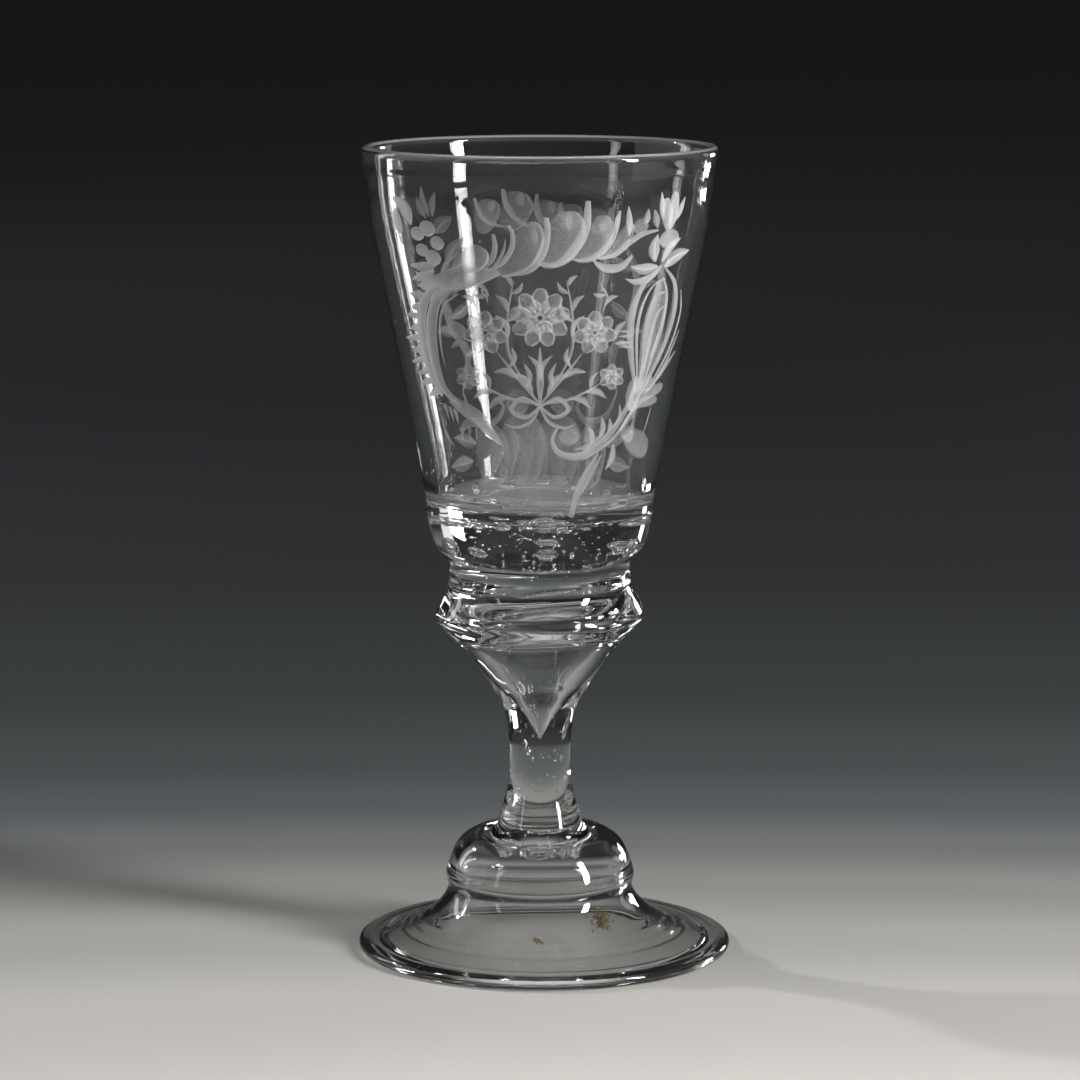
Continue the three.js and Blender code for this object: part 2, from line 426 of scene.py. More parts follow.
bowl_inside = smooth_line(
    [
        bowl_mouth[-1],
        (BOWL_RIM_RADIUS - LIP_THICKNESS - LIP_PROUD, bowl_height - LIP_NECK),
        (BOWL_RIM_RADIUS - WALL_HIGH - LIP_BAND_STEP, bowl_height - LIP_BAND),
        (BOWL_HIGH[0] - WALL_HIGH, BOWL_HIGH[1]),
        (BOWL_LOW[0] - WALL_LOW, BOWL_LOW[1]),
        (bowl_inner_base, BOWL_FLOOR + BOWL_FLOOR_DISH),
    ],
    BOWL_INSIDE_STEPS,
)
bowl_floor = bend(bowl_inside[-1], (bowl_inner_base, BOWL_FLOOR), (0, BOWL_FLOOR), BOWL_FLOOR_STEPS)
bowl = turned(
    "bowl_glass",
    [
        (seam, raised([(0, 0), (BOWL_BASE_RADIUS, 0)], bowl_seat)),
        (bowl_glass, raised(bowl_outside + bowl_mouth[1 : LIP_HIGHLIGHT_FROM + 1], bowl_seat)),
        (lip_highlight_glass, raised(bowl_mouth[LIP_HIGHLIGHT_FROM : LIP_HIGHLIGHT_TO + 1], bowl_seat)),
        (bowl_glass, raised(bowl_mouth[LIP_HIGHLIGHT_TO:] + bowl_inside[1:], bowl_seat)),
        (floor_glass, raised(bowl_floor, bowl_seat)),
    ],
)
for spot in bowl.data.vertices:
    depth = (FLOOR_WAVE_TOP - spot.co.z) / (FLOOR_WAVE_TOP - bowl_seat - BOWL_FLOOR)
    if bowl_seat < spot.co.z < FLOOR_WAVE_TOP and math.hypot(spot.co.x, spot.co.y) < bowl_inner_base:
        swell = FLOOR_SWELL * (1 + noise.noise(spot.co * FLOOR_SWELLS_PER_METRE)) / 2
        ripple = FLOOR_RIPPLE * (1 + noise.noise(spot.co * FLOOR_RIPPLES_PER_METRE)) / 2
        spot.co.z += depth * (swell + ripple)
blow_bubbles(bowl, bowl_glass, BOWL_BUBBLES)
scatter_seeds(
    bowl, bowl_glass, count=130, radii=(27.3 * MM, 28.4 * MM), sizes=(0.12 * MM, 0.65 * MM),
    heights=(bowl_seat + 0.8 * MM, bowl_seat + 6 * MM), drawn_out=0.8, seed=41,
)
for height, radius, count in WALL_SEEDS:
    scatter_seeds(
        bowl, bowl_glass, count=count, radii=(radius - WALL_SEED_REACH, radius + WALL_SEED_REACH),
        heights=(bowl_seat + (height - WALL_SEED_RISE) * MM, bowl_seat + (height + WALL_SEED_RISE) * MM),
        sizes=(0.08 * MM, 0.36 * MM), drawn_out=1.5, seed=count + height,
    )
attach(bowl, "root")
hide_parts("bowl")


# Engraving: rococo leaf and shell ornament, cut into the outside of the bowl with a small copper wheel
# and left unpolished. Each cut is a shallow frosted groove that swells and thins.
# The back of the bowl has a panel of its own, which shows through the glass.
GIRTH_RADIUS = 38 * MM
CUT_STEP = 2.4
CUT_LEAST_STEPS = 4
CUT_FLATNESS = 0.03
CUT_LIFT = 0.012 * MM
CUT_LAYERS = 9
CUT_SIDES = 8
FRONT_UNIT = 0.2525 * MM
FRONT_MIDDLE = 163.6 * MM
BACK_UNIT = 0.2645 * MM
BACK_MIDDLE = 155.8 * MM
FRONT_FACING = -1
BACK_FACING = 1
FROST_COLOUR = (0.9, 0.9, 0.89, 1)
FROST_THROUGH = 0.6
FROST_ROUGHNESS = 0.5
SHALLOW_SIDE_FROST = 0.62
WHEEL_GRAIN_SCALE = 1400
WHEEL_GRAIN_RANGE = (0.3, 0.7)
WHEEL_GRAIN_FROST = (0.88, 1.04)
LAYING_REACH = 2
ROUND_CUT = 0.5
LEAF_ENDS = (0.15, 0.03)
LEAF_BELLY = 0.42
RIB_WIDTH = 0.2
RIB_ENDS = (0.5, 0.1)
RIB_BELLY = 0.3
RIB_EXTRA_FROST = 0.2
BERRY_ENDS = (0.08, 0.08)
LOBE_ENDS = (0.12, 0.3)
LOBE_BELLY = 0.62
HAIR_ENDS = (0.9, 0.05)
HAIR_BELLY = 0.15
INNER_PETALS = 0.6
PETAL_ROOT = 0.25
PETAL_WAIST = 0.65
PETAL_FROST = 0.75
PETAL_EDGE_WIDTH = 2
PETAL_EDGE_ENDS = (0.3, 0.5)
PETAL_TIP_WIDTH = 0.2
PETAL_EDGE_FROST = 0.12
BEAD_RING = 0.13
BEAD_SIZE = 0.06
BEAD_FROST = 0.3


def cut(panel, points, width, frost, start=0.1, end=0.1, belly=0.5, fullness=1):
    """Adds a cut along a smooth line, which swells from its start to its belly and thins to its end."""
    panel.append((points, width, frost, start, end, belly, fullness))


def leaf(panel, root, tip, width, frost, bow=0):
    """A pointed leaf with a bright midrib. Bow pushes its middle aside, as a share of its length."""
    middle = (
        (root[0] + tip[0]) / 2 - bow * (tip[1] - root[1]),
        (root[1] + tip[1]) / 2 + bow * (tip[0] - root[0]),
    )
    cut(panel, [root, middle, tip], width, frost, *LEAF_ENDS, LEAF_BELLY)
    bright = min(frost + RIB_EXTRA_FROST, 1)
    cut(panel, [root, middle, tip], width * RIB_WIDTH, bright, *RIB_ENDS, RIB_BELLY)


def berry(panel, middle, radius, frost):
    """A round berry, made by one touch of a small wheel."""
    across, up = middle
    line = [(across - radius, up), (across, up), (across + radius, up)]
    cut(panel, line, 2 * radius, frost, *BERRY_ENDS, fullness=ROUND_CUT)


def lobe(panel, points, width, frost):
    """A broad matt lobe of a shell or feather with a rounded tip."""
    cut(panel, points, width, frost, *LOBE_ENDS, LOBE_BELLY, ROUND_CUT)


def tassel(panel, roots, drop, width, frost):
    """A row of short pointed hairs that all point the same way."""
    for across, up in roots:
        tip = (across + drop[0], up + drop[1])
        cut(panel, [(across, up), tip], width, frost, *HAIR_ENDS, HAIR_BELLY)


def bloom(panel, middle, petals, length, width, frost):
    """An open flower: broad matt petals with bright edges, an inner ring of petals and a beaded heart."""
    for ring, reach in ((0, length), (0.5, length * INNER_PETALS)):
        for i in range(petals):
            angle = FULL_TURN * (i + ring) / petals + math.pi / 2
            along = Vector((math.cos(angle), math.sin(angle)))
            across = Vector((-along.y, along.x)) * width * reach / length / 2
            root = Vector(middle) + along * reach * PETAL_ROOT
            waist = Vector(middle) + along * reach * PETAL_WAIST
            tip = Vector(middle) + along * reach
            petal = [tuple(root), tuple(waist), tuple(tip)]
            lobe(panel, petal, width * reach / length, frost * PETAL_FROST)
            for side in (-1, 1):
                edge = [tuple(root), tuple(waist + across * side)]
                edge.append(tuple(tip + across * side * PETAL_TIP_WIDTH))
                cut(panel, edge, PETAL_EDGE_WIDTH, frost + PETAL_EDGE_FROST, *PETAL_EDGE_ENDS)
    for i in range(petals):
        angle = FULL_TURN * i / petals
        bead = Vector(middle) + Vector((math.cos(angle), math.sin(angle))) * length * BEAD_RING
        berry(panel, tuple(bead), length * BEAD_SIZE, frost + BEAD_FROST)


def flipped(points, side):
    """Points of the right half of a panel, or the same points on the left where side is -1."""
    return [(across * side, up) for across, up in points]


# A panel is drawn flat, in small units across and up from its middle, and is laid on the bowl below.
front = []
# The feathered shell along the top: broad matt lobes with a bright edge to each.
for spine, width in (
    ([(-42, 70), (-21, 82), (-11, 100), (-9, 120)], 28),
    ([(-1, 78), (17, 90), (26, 108), (27, 130)], 34),
    ([(33, 82), (51, 92), (60, 108), (61, 125)], 25),
    ([(57, 83), (73, 92), (83, 103), (90, 116)], 16),
):
    lobe(front, spine, width, 0.36)
for edge, width, tip in (
    ([(-57, 69), (-39, 77), (-28, 93), (-27, 108), (-31, 116)], 5, 0.5),
    ([(-39, 65), (-11, 72), (2, 89), (7, 110), (6, 124)], 8, 0.5),
    ([(-4, 78), (17, 78), (33, 92), (44, 112), (47, 140)], 10, 0.45),
    ([(27, 83), (48, 82), (64, 93), (74, 110), (79, 129)], 7, 0.15),
    ([(54, 82), (73, 86), (87, 97), (101, 105), (117, 108)], 7, 0.3),
    ([(51, 82), (63, 73), (79, 73), (91, 84)], 9, 0.3),
):
    cut(front, edge, width, 0.72, 0.1, tip)
for low, high, width in (((27, 113), (28, 127), 7), ((60, 109), (62, 119), 6), ((-5, 99), (-6, 112), 6)):
    cut(front, [low, high], width, 0.4, 0.4, 0.4)
leaf(front, (88, 104), (87, 134), 7, 0.7)
leaf(front, (73, 112), (78, 130), 5, 0.65)
cut(front, [(-55, 71), (-47, 82), (-44, 95), (-46, 107)], 5, 0.75, 0.1, 0.6)
cut(front, [(-51, 70), (-40, 82), (-35, 94), (-34, 103)], 3, 0.65)

# Fruit and leaves at the upper left, on the root that the scrolls spring from.
# Frost above 1 on this side is painted light: these cuts are made fully frosted to stand in for the light
# that reaches them through the bowl from behind.
cut(front, [(-146, 138), (-134, 129), (-127, 112)], 15, 1.3, 0.2, 0.1)
lobe(front, [(-144, 128), (-141, 114), (-138, 103)], 12, 1.2)
for middle, radius in (
    ((-121, 104), 7),
    ((-111, 110), 8),
    ((-101, 96), 7),
    ((-116, 88), 6.5),
    ((-105, 81), 8),
):
    berry(front, middle, radius, 1.25)
for root, tip, width, frost in (
    ((-103, 73), (-128, 72), 11, 1.2),
    ((-104, 68), (-127, 57), 12, 1.2),
    ((-99, 59), (-117, 47), 9, 1),
    ((-112, 120), (-122, 141), 7, 0.42),
    ((-109, 122), (-117, 152), 8, 0.42),
    ((-106, 122), (-103, 147), 8, 0.42),
    ((-103, 106), (-86, 123), 15, 0.35),
    ((-92, 76), (-74, 103), 13, 0.5),
    ((-84, 72), (-70, 92), 9, 0.5),
):
    leaf(front, root, tip, width, frost, 0.08)
lobe(front, [(-76, 72), (-66, 80), (-57, 94)], 25, 0.6)
cut(front, [(-116, 52), (-94, 57), (-69, 64), (-39, 69)], 22, 0.95, 0.5, 0.2)
cut(front, [(-87, 40), (-81, 52), (-69, 57), (-57, 55), (-50, 45)], 6, 0.7, 0.3, 0.2)
tassel(front, [(-62, 54), (-57, 52), (-53, 48)], (2, -11), 2.5, 0.7)

# The left scroll that frames the panel, with strands, a leafy outer edge and two dripping tails.
left_scroll = [(-80, 57), (-101, 40), (-107, 14), (-106, -11), (-102, -34), (-94, -54), (-78, -69)]
cut(front, left_scroll, 13, 0.9, 0.6, 0.5, 0.4)
# Frost above 1 here is painted light as well, for the brighter light on this side of the bowl.
cut(front, [(-100, 56), (-114, 36), (-118, 10), (-115, -14), (-109, -38), (-97, -60)], 13, 1.2, 0.5, 0.4)
cut(front, [(-90, 52), (-108, 32), (-112, 6), (-109, -22), (-101, -48), (-88, -64)], 3, 1.3, 0.5, 0.4)
cut(front, [(-80, 46), (-94, 34), (-99, 14), (-98, -10), (-94, -30)], 3, 0.9, 0.3, 0.2)
for root, tip, width in (
    ((-108, 50), (-121, 52), 9),
    ((-114, 41), (-130, 42), 8),
    ((-117, 30), (-128, 28), 9),
    ((-118, 20), (-134, 19), 7),
    ((-119, 9), (-129, 6), 9),
    ((-118, -2), (-134, -5), 7),
    ((-116, -13), (-126, -17), 9),
    ((-114, -23), (-128, -29), 7),
    ((-111, -34), (-120, -40), 8),
    ((-107, -44), (-119, -51), 7),
    ((-102, -54), (-111, -62), 8),
):
    cut(front, [root, tip], width, 1.25, 0.9, 0.1, 0.3)
cut(front, [(-90, -62), (-72, -73), (-56, -84), (-42, -105)], 16, 0.64, 0.5, 0.1, 0.35)
tassel(front, [(-95, -68), (-90, -70), (-85, -72)], (4, -16), 5, 0.7)
cut(front, [(-80, -95), (-71, -85), (-59, -85), (-47, -96), (-36, -108)], 12, 0.5, 0.4, 0.05)
tassel(front, [(-77, -90), (-70, -90), (-63, -90)], (0, -14), 4, 0.6)
cut(front, [(-53, -90), (-46, -97), (-39, -106)], 3, 0.9)
cut(front, [(-96, -92), (-91, -103), (-85, -112)], 4, 0.5)

# The flower at the upper right.
lobe(front, [(127, 106), (126, 122), (124, 139)], 15, 0.8)
lobe(front, [(129, 108), (132, 126), (134, 145)], 13, 0.8)
leaf(front, (121, 118), (120, 146), 7, 0.85)
leaf(front, (134, 116), (144, 139), 8, 0.8)
berry(front, (128, 98), 10, 0.7)
for root, tip, width in (
    ((114, 76), (117, 104), 14),
    ((117, 71), (89, 73), 12),
    ((123, 70), (149, 84), 15),
    ((121, 76), (140, 98), 11),
):
    leaf(front, root, tip, width, 0.7, 0.1)
cut(front, [(121, 72), (110, 61), (95, 57), (84, 61)], 8, 0.72, 0.3, 0.05)
berry(front, (99, 113), 8, 0.4)
leaf(front, (116, 110), (113, 129), 9, 0.4)
leaf(front, (104, 114), (107, 130), 8, 0.45)

# The acanthus plume down the right side: long feathery leaves that open from one root and curl over.
cut(front, [(119, 56), (117, 34), (113, 8), (109, -22), (100, -52)], 34, 0.36, 0.3, 0.4, 0.45)
for feather, width, frost in (
    ([(96, -58), (91, -26), (89, 6), (93, 34), (104, 56), (119, 68)], 9, 0.66),
    ([(97, -56), (96, -24), (96, 6), (101, 32), (112, 52), (125, 58)], 4, 0.8),
    ([(98, -54), (101, -22), (104, 6), (109, 28), (117, 42), (126, 44)], 8, 0.6),
    ([(99, -56), (105, -24), (110, 0), (115, 18), (121, 28), (127, 29)], 4, 0.9),
    ([(100, -56), (110, -26), (118, -2), (124, 22), (126, 44), (122, 60)], 6, 0.7),
    ([(101, -58), (116, -28), (128, 0), (135, 28), (134, 52), (125, 68)], 9, 0.66),
    ([(103, -60), (122, -30), (134, -4), (141, 22), (141, 44)], 4, 0.75),
    ([(104, -60), (122, -36), (132, -16), (140, 2)], 5, 0.6),
    ([(104, -60), (119, -42), (128, -30), (136, -20)], 6, 0.55),
):
    cut(front, feather, width, frost, 0.3, 0.25, 0.55)
cut(front, [(118, 4), (114, -10), (107, -29)], 3, 0.98)
PLUME_ROOT = (88, -74)
for tip, width in (((97, -40), 15), ((112, -42), 16), ((123, -54), 15), ((117, -67), 12)):
    middle = ((PLUME_ROOT[0] + tip[0]) / 2 - 2, (PLUME_ROOT[1] + tip[1]) / 2 + 3)
    lobe(front, [PLUME_ROOT, middle, tip], width, 0.45)
tassel(front, [(90, 7), (90, 2), (90, -4), (91, -9)], (-13, 1), 3, 0.7)

# The long scroll that sweeps under the panel from the right, with its curl, frill and stalk.
right_scroll = [(95, -45), (89, -65), (76, -88), (58, -107), (37, -118), (19, -114), (12, -101), (17, -88)]
cut(front, right_scroll, 9, 0.6, 0.6, 0.3)
cut(front, [(101, -55), (91, -75), (76, -98), (57, -114), (39, -123)], 4, 0.62)
berry(front, (29, -97), 10, 0.38)
cut(front, [(34, -111), (49, -107), (62, -96)], 6, 0.55)
for root, tip, width in (
    ((50, -107), (48, -87), 8),
    ((59, -101), (61, -78), 8),
    ((67, -95), (69, -80), 6),
    ((75, -88), (79, -66), 4),
):
    leaf(front, root, tip, width, 0.55, -0.1)
cut(front, [(58, -116), (44, -140), (36, -160), (31, -181)], 10, 0.46, 0.3, 0.6)
cut(front, [(61, -118), (51, -138), (41, -158)], 6, 0.46, 0.3, 0.1)
leaf(front, (73, -108), (65, -134), 10, 0.5, 0.1)
leaf(front, (97, -70), (77, -97), 9, 0.45)
lobe(front, [(84, -97), (95, -108), (107, -119)], 27, 0.34)
lobe(front, [(80, -90), (87, -98), (93, -103)], 16, 0.36)
cut(front, [(112, -72), (108, -86), (103, -102)], 2, 0.7)

# The device in the middle: a posy of flowers and leaves, tied with a ribbon at the bottom.
bloom(front, (0, 24), 9, 30, 15, 0.5)
for side in (1, -1):
    bloom(front, (54 * side, 8), 7, 22, 13, 0.5)
    bloom(front, (71 * side, -38), 6, 13, 8, 0.45)
    for line, width in (
        ([(0, -64), (2, -40), (0, -6)], 3.5),
        ([(0, -64), (20, -40), (42, -12)], 3.5),
        ([(0, -64), (32, -58), (60, -44)], 3),
        ([(10, -50), (30, -14), (32, 22), (26, 62)], 3),
        ([(62, 30), (66, 44), (58, 58)], 2.5),
    ):
        cut(front, flipped(line, side), width, 0.6, 0.5, 0.15)
    for root, tip, width in (
        ((1, -40), (12, -14), 6),
        ((7, -54), (30, -32), 7),
        ((14, -48), (16, -22), 6),
        ((22, -38), (46, -32), 7),
        ((30, -26), (28, -6), 6),
        ((32, -58), (50, -70), 7),
        ((44, -52), (66, -60), 7),
        ((50, -49), (58, -32), 5),
        ((31, 4), (44, 26), 6),
        ((32, 20), (20, 40), 6),
        ((32, 30), (44, 46), 6),
        ((29, 48), (17, 60), 5),
        ((28, 56), (37, 66), 5),
        ((64, 36), (77, 44), 6),
        ((65, 46), (52, 48), 5),
        ((74, 0), (86, 18), 7),
        ((74, -4), (88, -10), 6),
    ):
        leaf(front, *flipped([root, tip], side), width, 0.52, 0.18 * side)
    loop = [(0, -66), (18, -58), (28, -70), (14, -77), (0, -66)]
    tail = [(0, -66), (9, -82), (24, -88), (36, -84)]
    cut(front, flipped(loop, side), 5, 0.62, 0.5, 0.5)
    cut(front, flipped(tail, side), 4, 0.6, 0.5, 0.1)

back = []
# The far panel: a feathered shell above, a fan of long ribbed lobes below, and leaves between.
for spine, width in (
    ([(-62, 106), (-58, 122), (-52, 144)], 26),
    ([(-36, 108), (-28, 126), (-20, 150)], 32),
    ([(-4, 110), (4, 124), (12, 142)], 26),
    ([(24, 108), (30, 120), (34, 138)], 24),
    ([(50, 104), (56, 116), (64, 132)], 24),
):
    lobe(back, spine, width, 0.3)
for edge, width in (
    ([(-69, 146), (-62, 126), (-50, 116), (-34, 112)], 6),
    ([(-39, 154), (-34, 135), (-24, 120), (-10, 112)], 7),
    ([(-3, 148), (-3, 130), (5, 116), (20, 108)], 7),
    ([(22, 140), (24, 124), (34, 112), (50, 106)], 6),
    ([(48, 134), (50, 120), (60, 108), (76, 104)], 6),
):
    cut(back, edge, width, 0.42, 0.5, 0.1)
for low, high in (((-21, 136), (-21, 149)), ((11, 127), (11, 141)), ((-52, 130), (-51, 142))):
    cut(back, [low, high], 8, 0.3, 0.5, 0.5)
FAN_FOOT = -146
FAN_WAIST = -116
FAN_FOOT_SHARE = 0.9
FAN_TOP_SHARE = 1.1
for middle, top, width, frost in (
    (-52, -84, 52, 0.3),
    (-18, -74, 60, 0.34),
    (20, -76, 60, 0.34),
    (54, -86, 50, 0.3),
):
    spine = [(middle * FAN_FOOT_SHARE, FAN_FOOT), (middle, FAN_WAIST), (middle * FAN_TOP_SHARE, top)]
    lobe(back, spine, width, frost)
FAN_RIBS = 7
RIB_TOP = -88
RIB_TOP_BOW = 26
RIB_TOP_SPREAD = 96
RIB_WAIST_SPREAD = 120
RIB_FOOT = -143
RIB_FOOT_BOW = 20
RIB_FOOT_SPREAD = 150
for rib in range(FAN_RIBS):
    slant = (rib - (FAN_RIBS - 1) / 2) / FAN_RIBS
    top = (RIB_TOP_SPREAD * slant, RIB_TOP - RIB_TOP_BOW * slant * slant)
    waist = (RIB_WAIST_SPREAD * slant, FAN_WAIST)
    low = (RIB_FOOT_SPREAD * slant, RIB_FOOT + RIB_FOOT_BOW * slant * slant)
    lobe(back, [low, waist, top], 22, 0.26)
    cut(back, [(low[0] + 7, low[1]), (waist[0] + 7, waist[1]), (top[0] + 6, top[1])], 3, 0.3)
berry(back, (-24, -62), 13, 0.3)
berry(back, (24, -62), 13, 0.3)
for side in (-1, 1):
    stalk = [(90, 96), (104, 60), (96, 20), (78, -14), (84, -50)]
    curl = [(84, -50), (72, -74), (50, -80), (40, -66), (50, -56)]
    cut(back, flipped(stalk, side), 14, 0.4, 0.2, 0.2)
    cut(back, flipped(curl, side), 8, 0.42, 0.4, 0.1)
    for root, tip in (
        ((98, 70), (76, 84)),
        ((102, 50), (124, 62)),
        ((96, 24), (74, 40)),
        ((90, 6), (112, 12)),
        ((80, -14), (60, 2)),
    ):
        leaf(back, *flipped([root, tip], side), 12, 0.36, 0.1 * side)
    for root, tip in (((70, -100), (96, -92)), ((74, -116), (100, -118))):
        leaf(back, *flipped([root, tip], side), 14, 0.36)


def radius_at(outline, height):
    """The radius of a rising outline at a height."""
    for low, high in zip(outline, outline[1:]):
        if low[1] <= height <= high[1]:
            share = (height - low[1]) / (high[1] - low[1])
            return low[0] + (high[0] - low[0]) * share
    return outline[0][0]


def laid_out(name, panel, unit, middle):
    """The lines of a panel rolled out flat, with the half width and the frost of each point."""
    spots = []
    edges = []
    widths = []
    frosts = []
    for number, (points, width, frost, start, end, belly, fullness) in enumerate(panel):
        longest = max(math.dist(a, b) for a, b in zip(points, points[1:]))
        line = smooth_line(points, max(CUT_LEAST_STEPS, math.ceil(longest / CUT_STEP)))
        lengths = [math.dist(a, b) for a, b in zip(line, line[1:])]
        gone = 0
        for i, (across, up) in enumerate(line):
            share = min(gone / sum(lengths), 1)
            rise, least = (share / belly, start) if share < belly else ((1 - share) / (1 - belly), end)
            swell = least + (1 - least) * math.sin(rise * math.pi / 2) ** fullness
            height = middle + unit * up
            turn = math.asin(unit * across / radius_at(bowl_outside, height - bowl_seat))
            if i > 0:
                edges.append((len(spots) - 1, len(spots)))
            spots.append((turn * GIRTH_RADIUS, height, CUT_LIFT * (1 + number % CUT_LAYERS)))
            widths.append(unit * width / 2 * swell)
            frosts.append(frost)
            gone += lengths[i] if i < len(lengths) else 0
    mesh = bpy.data.meshes.new(name)
    mesh.from_pydata(spots, edges, [])
    for title, values in (("half_width", widths), ("frost", frosts)):
        mesh.attributes.new(title, "FLOAT", "POINT").data.foreach_set("value", values)
    return mesh


def wheel_cuts():
    """A tree that swells flat lines into shallow cuts and lays them on the bowl."""
    sockets = [
        ("Lines", "Geometry"),
        ("Bowl", "Object"),
        ("Girth Radius", "Float"),
        ("Facing", "Float"),
        ("Flatness", "Float"),
        ("Finish", "Material"),
    ]
    tree, add, given = new_tree("wheel cuts", sockets, "Cuts")
    lines = add("GeometryNodeMeshToCurve", {"Mesh": given["Lines"]})
    level = add("GeometryNodeSetCurveNormal", {"Curve": lines.outputs[0]}, mode="Z_UP")
    ring = add("GeometryNodeCurvePrimitiveCircle", {"Resolution": CUT_SIDES, "Radius": 1})
    spot = add("GeometryNodeInputPosition").outputs[0]
    across = add("ShaderNodeSeparateXYZ", {0: spot}).outputs["X"]
    marked = add(
        "GeometryNodeStoreNamedAttribute",
        {"Geometry": ring.outputs["Curve"], "Name": "across", "Value": across},
        data_type="FLOAT",
        domain="POINT",
    )
    squash = add("ShaderNodeCombineXYZ", {"X": 1, "Y": given["Flatness"], "Z": 1}).outputs[0]
    sunk = maths(add, "MULTIPLY", given["Flatness"], -1)
    drop = add("ShaderNodeCombineXYZ", {"Y": sunk}).outputs[0]
    section = add(
        "GeometryNodeTransform",
        {"Geometry": marked.outputs[0], "Translation": drop, "Scale": squash},
    )
    width = add("GeometryNodeInputNamedAttribute", {"Name": "half_width"}, data_type="FLOAT")
    solid = add(
        "GeometryNodeCurveToMesh",
        {
            "Curve": level.outputs[0],
            "Profile Curve": section.outputs[0],
            "Scale": width.outputs["Attribute"],
            "Fill Caps": True,
        },
    )
    part = add("ShaderNodeSeparateXYZ", {0: spot}).outputs
    turn = maths(add, "DIVIDE", part["X"], given["Girth Radius"])
    side = maths(add, "SINE", turn)
    ahead = maths(add, "COSINE", turn)
    faced = maths(add, "MULTIPLY", ahead, given["Facing"])
    outside = add("ShaderNodeCombineXYZ", {"X": side, "Y": faced, "Z": part["Y"]}).outputs[0]
    flat = add("ShaderNodeCombineXYZ", {"X": side, "Y": faced}).outputs[0]
    inward = add("ShaderNodeVectorMath", {0: flat, "Scale": -1}, operation="SCALE").outputs[0]
    wall = add("GeometryNodeObjectInfo", {"Object": given["Bowl"]}).outputs["Geometry"]
    touch = add(
        "GeometryNodeRaycast",
        {
            "Target Geometry": wall,
            "Source Position": outside,
            "Ray Direction": inward,
            "Ray Length": LAYING_REACH,
        },
    ).outputs
    lifted = add(
        "ShaderNodeVectorMath",
        {0: touch["Hit Normal"], 1: (0, 0, 0), "Scale": part["Z"]},
        operation="SCALE",
    ).outputs[0]
    landed = add("ShaderNodeVectorMath", {0: touch["Hit Position"], 1: lifted}, operation="ADD").outputs[0]
    laid = add("GeometryNodeSetPosition", {"Geometry": solid.outputs[0], "Position": landed})
    plain = add("GeometryNodeRealizeInstances", {"Geometry": laid.outputs[0]})
    finished = add("GeometryNodeSetMaterial", {"Geometry": plain.outputs[0], "Material": given["Finish"]})
    add("NodeGroupOutput", {"Cuts": finished.outputs[0]})
    return tree


def frosted_cut():
    """The matt floor of a wheel cut: white by scattering, deeper on one side, with the wheel's grain.
    Light is scattered where it enters the cut and goes straight on where it leaves."""
    material, add = new_material("frosted cut")
    place = add("ShaderNodeTexCoord").outputs["Object"]
    frost = add("ShaderNodeAttribute", attribute_name="frost").outputs["Fac"]
    across = add("ShaderNodeAttribute", attribute_name="across").outputs["Fac"]
    deep = add(
        "ShaderNodeMapRange",
        {"Value": across, "From Min": -1, "From Max": 1, "To Min": SHALLOW_SIDE_FROST, "To Max": 1},
    ).outputs["Result"]
    grain = add(
        "ShaderNodeTexNoise",
        {"Vector": place, "Scale": WHEEL_GRAIN_SCALE, "Detail": 3, "Roughness": 0.6},
    )
    low, high = WHEEL_GRAIN_RANGE
    least, most = WHEEL_GRAIN_FROST
    patch = add(
        "ShaderNodeMapRange",
        {"Value": grain.outputs["Fac"], "From Min": low, "From Max": high, "To Min": least, "To Max": most},
    ).outputs["Result"]
    tone = maths(add, "MULTIPLY", frost, deep)
    matt = maths(add, "MULTIPLY", tone, patch, use_clamp=True)
    inner = add("ShaderNodeNewGeometry").outputs["Backfacing"]
    share = maths(add, "SUBTRACT", matt, inner, use_clamp=True)
    chalk = add("ShaderNodeBsdfDiffuse", {"Color": FROST_COLOUR, "Roughness": FROST_ROUGHNESS})
    glow = add("ShaderNodeBsdfTranslucent", {"Color": FROST_COLOUR})
    ground = add("ShaderNodeMixShader", {0: FROST_THROUGH, 1: chalk.outputs[0], 2: glow.outputs[0]})
    clear = add("ShaderNodeBsdfTransparent")
    surface = add("ShaderNodeMixShader", {0: share, 1: clear.outputs[0], 2: ground.outputs[0]})
    add("ShaderNodeOutputMaterial", {"Surface": surface.outputs[0]})
    return material


cut_tree = wheel_cuts()
frost_finish = frosted_cut()
for name, panel, unit, middle, facing in (
    ("front_engraving", front, FRONT_UNIT, FRONT_MIDDLE, FRONT_FACING),
    ("back_engraving", back, BACK_UNIT, BACK_MIDDLE, BACK_FACING),
):
    engraving = shown(name, laid_out(name, panel, unit, middle))
    worked(
        engraving,
        cut_tree,
        {
            "Bowl": bowl,
            "Girth Radius": GIRTH_RADIUS,
            "Facing": facing,
            "Flatness": CUT_FLATNESS,
            "Finish": frost_finish,
        },
    )
    shell = bmesh.new()
    shell.from_mesh(engraving.data)
    bmesh.ops.recalc_face_normals(shell, faces=shell.faces)
    for face in shell.faces:
        face.smooth = True
    shell.to_mesh(engraving.data)
    shell.free()
    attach(engraving, "root")


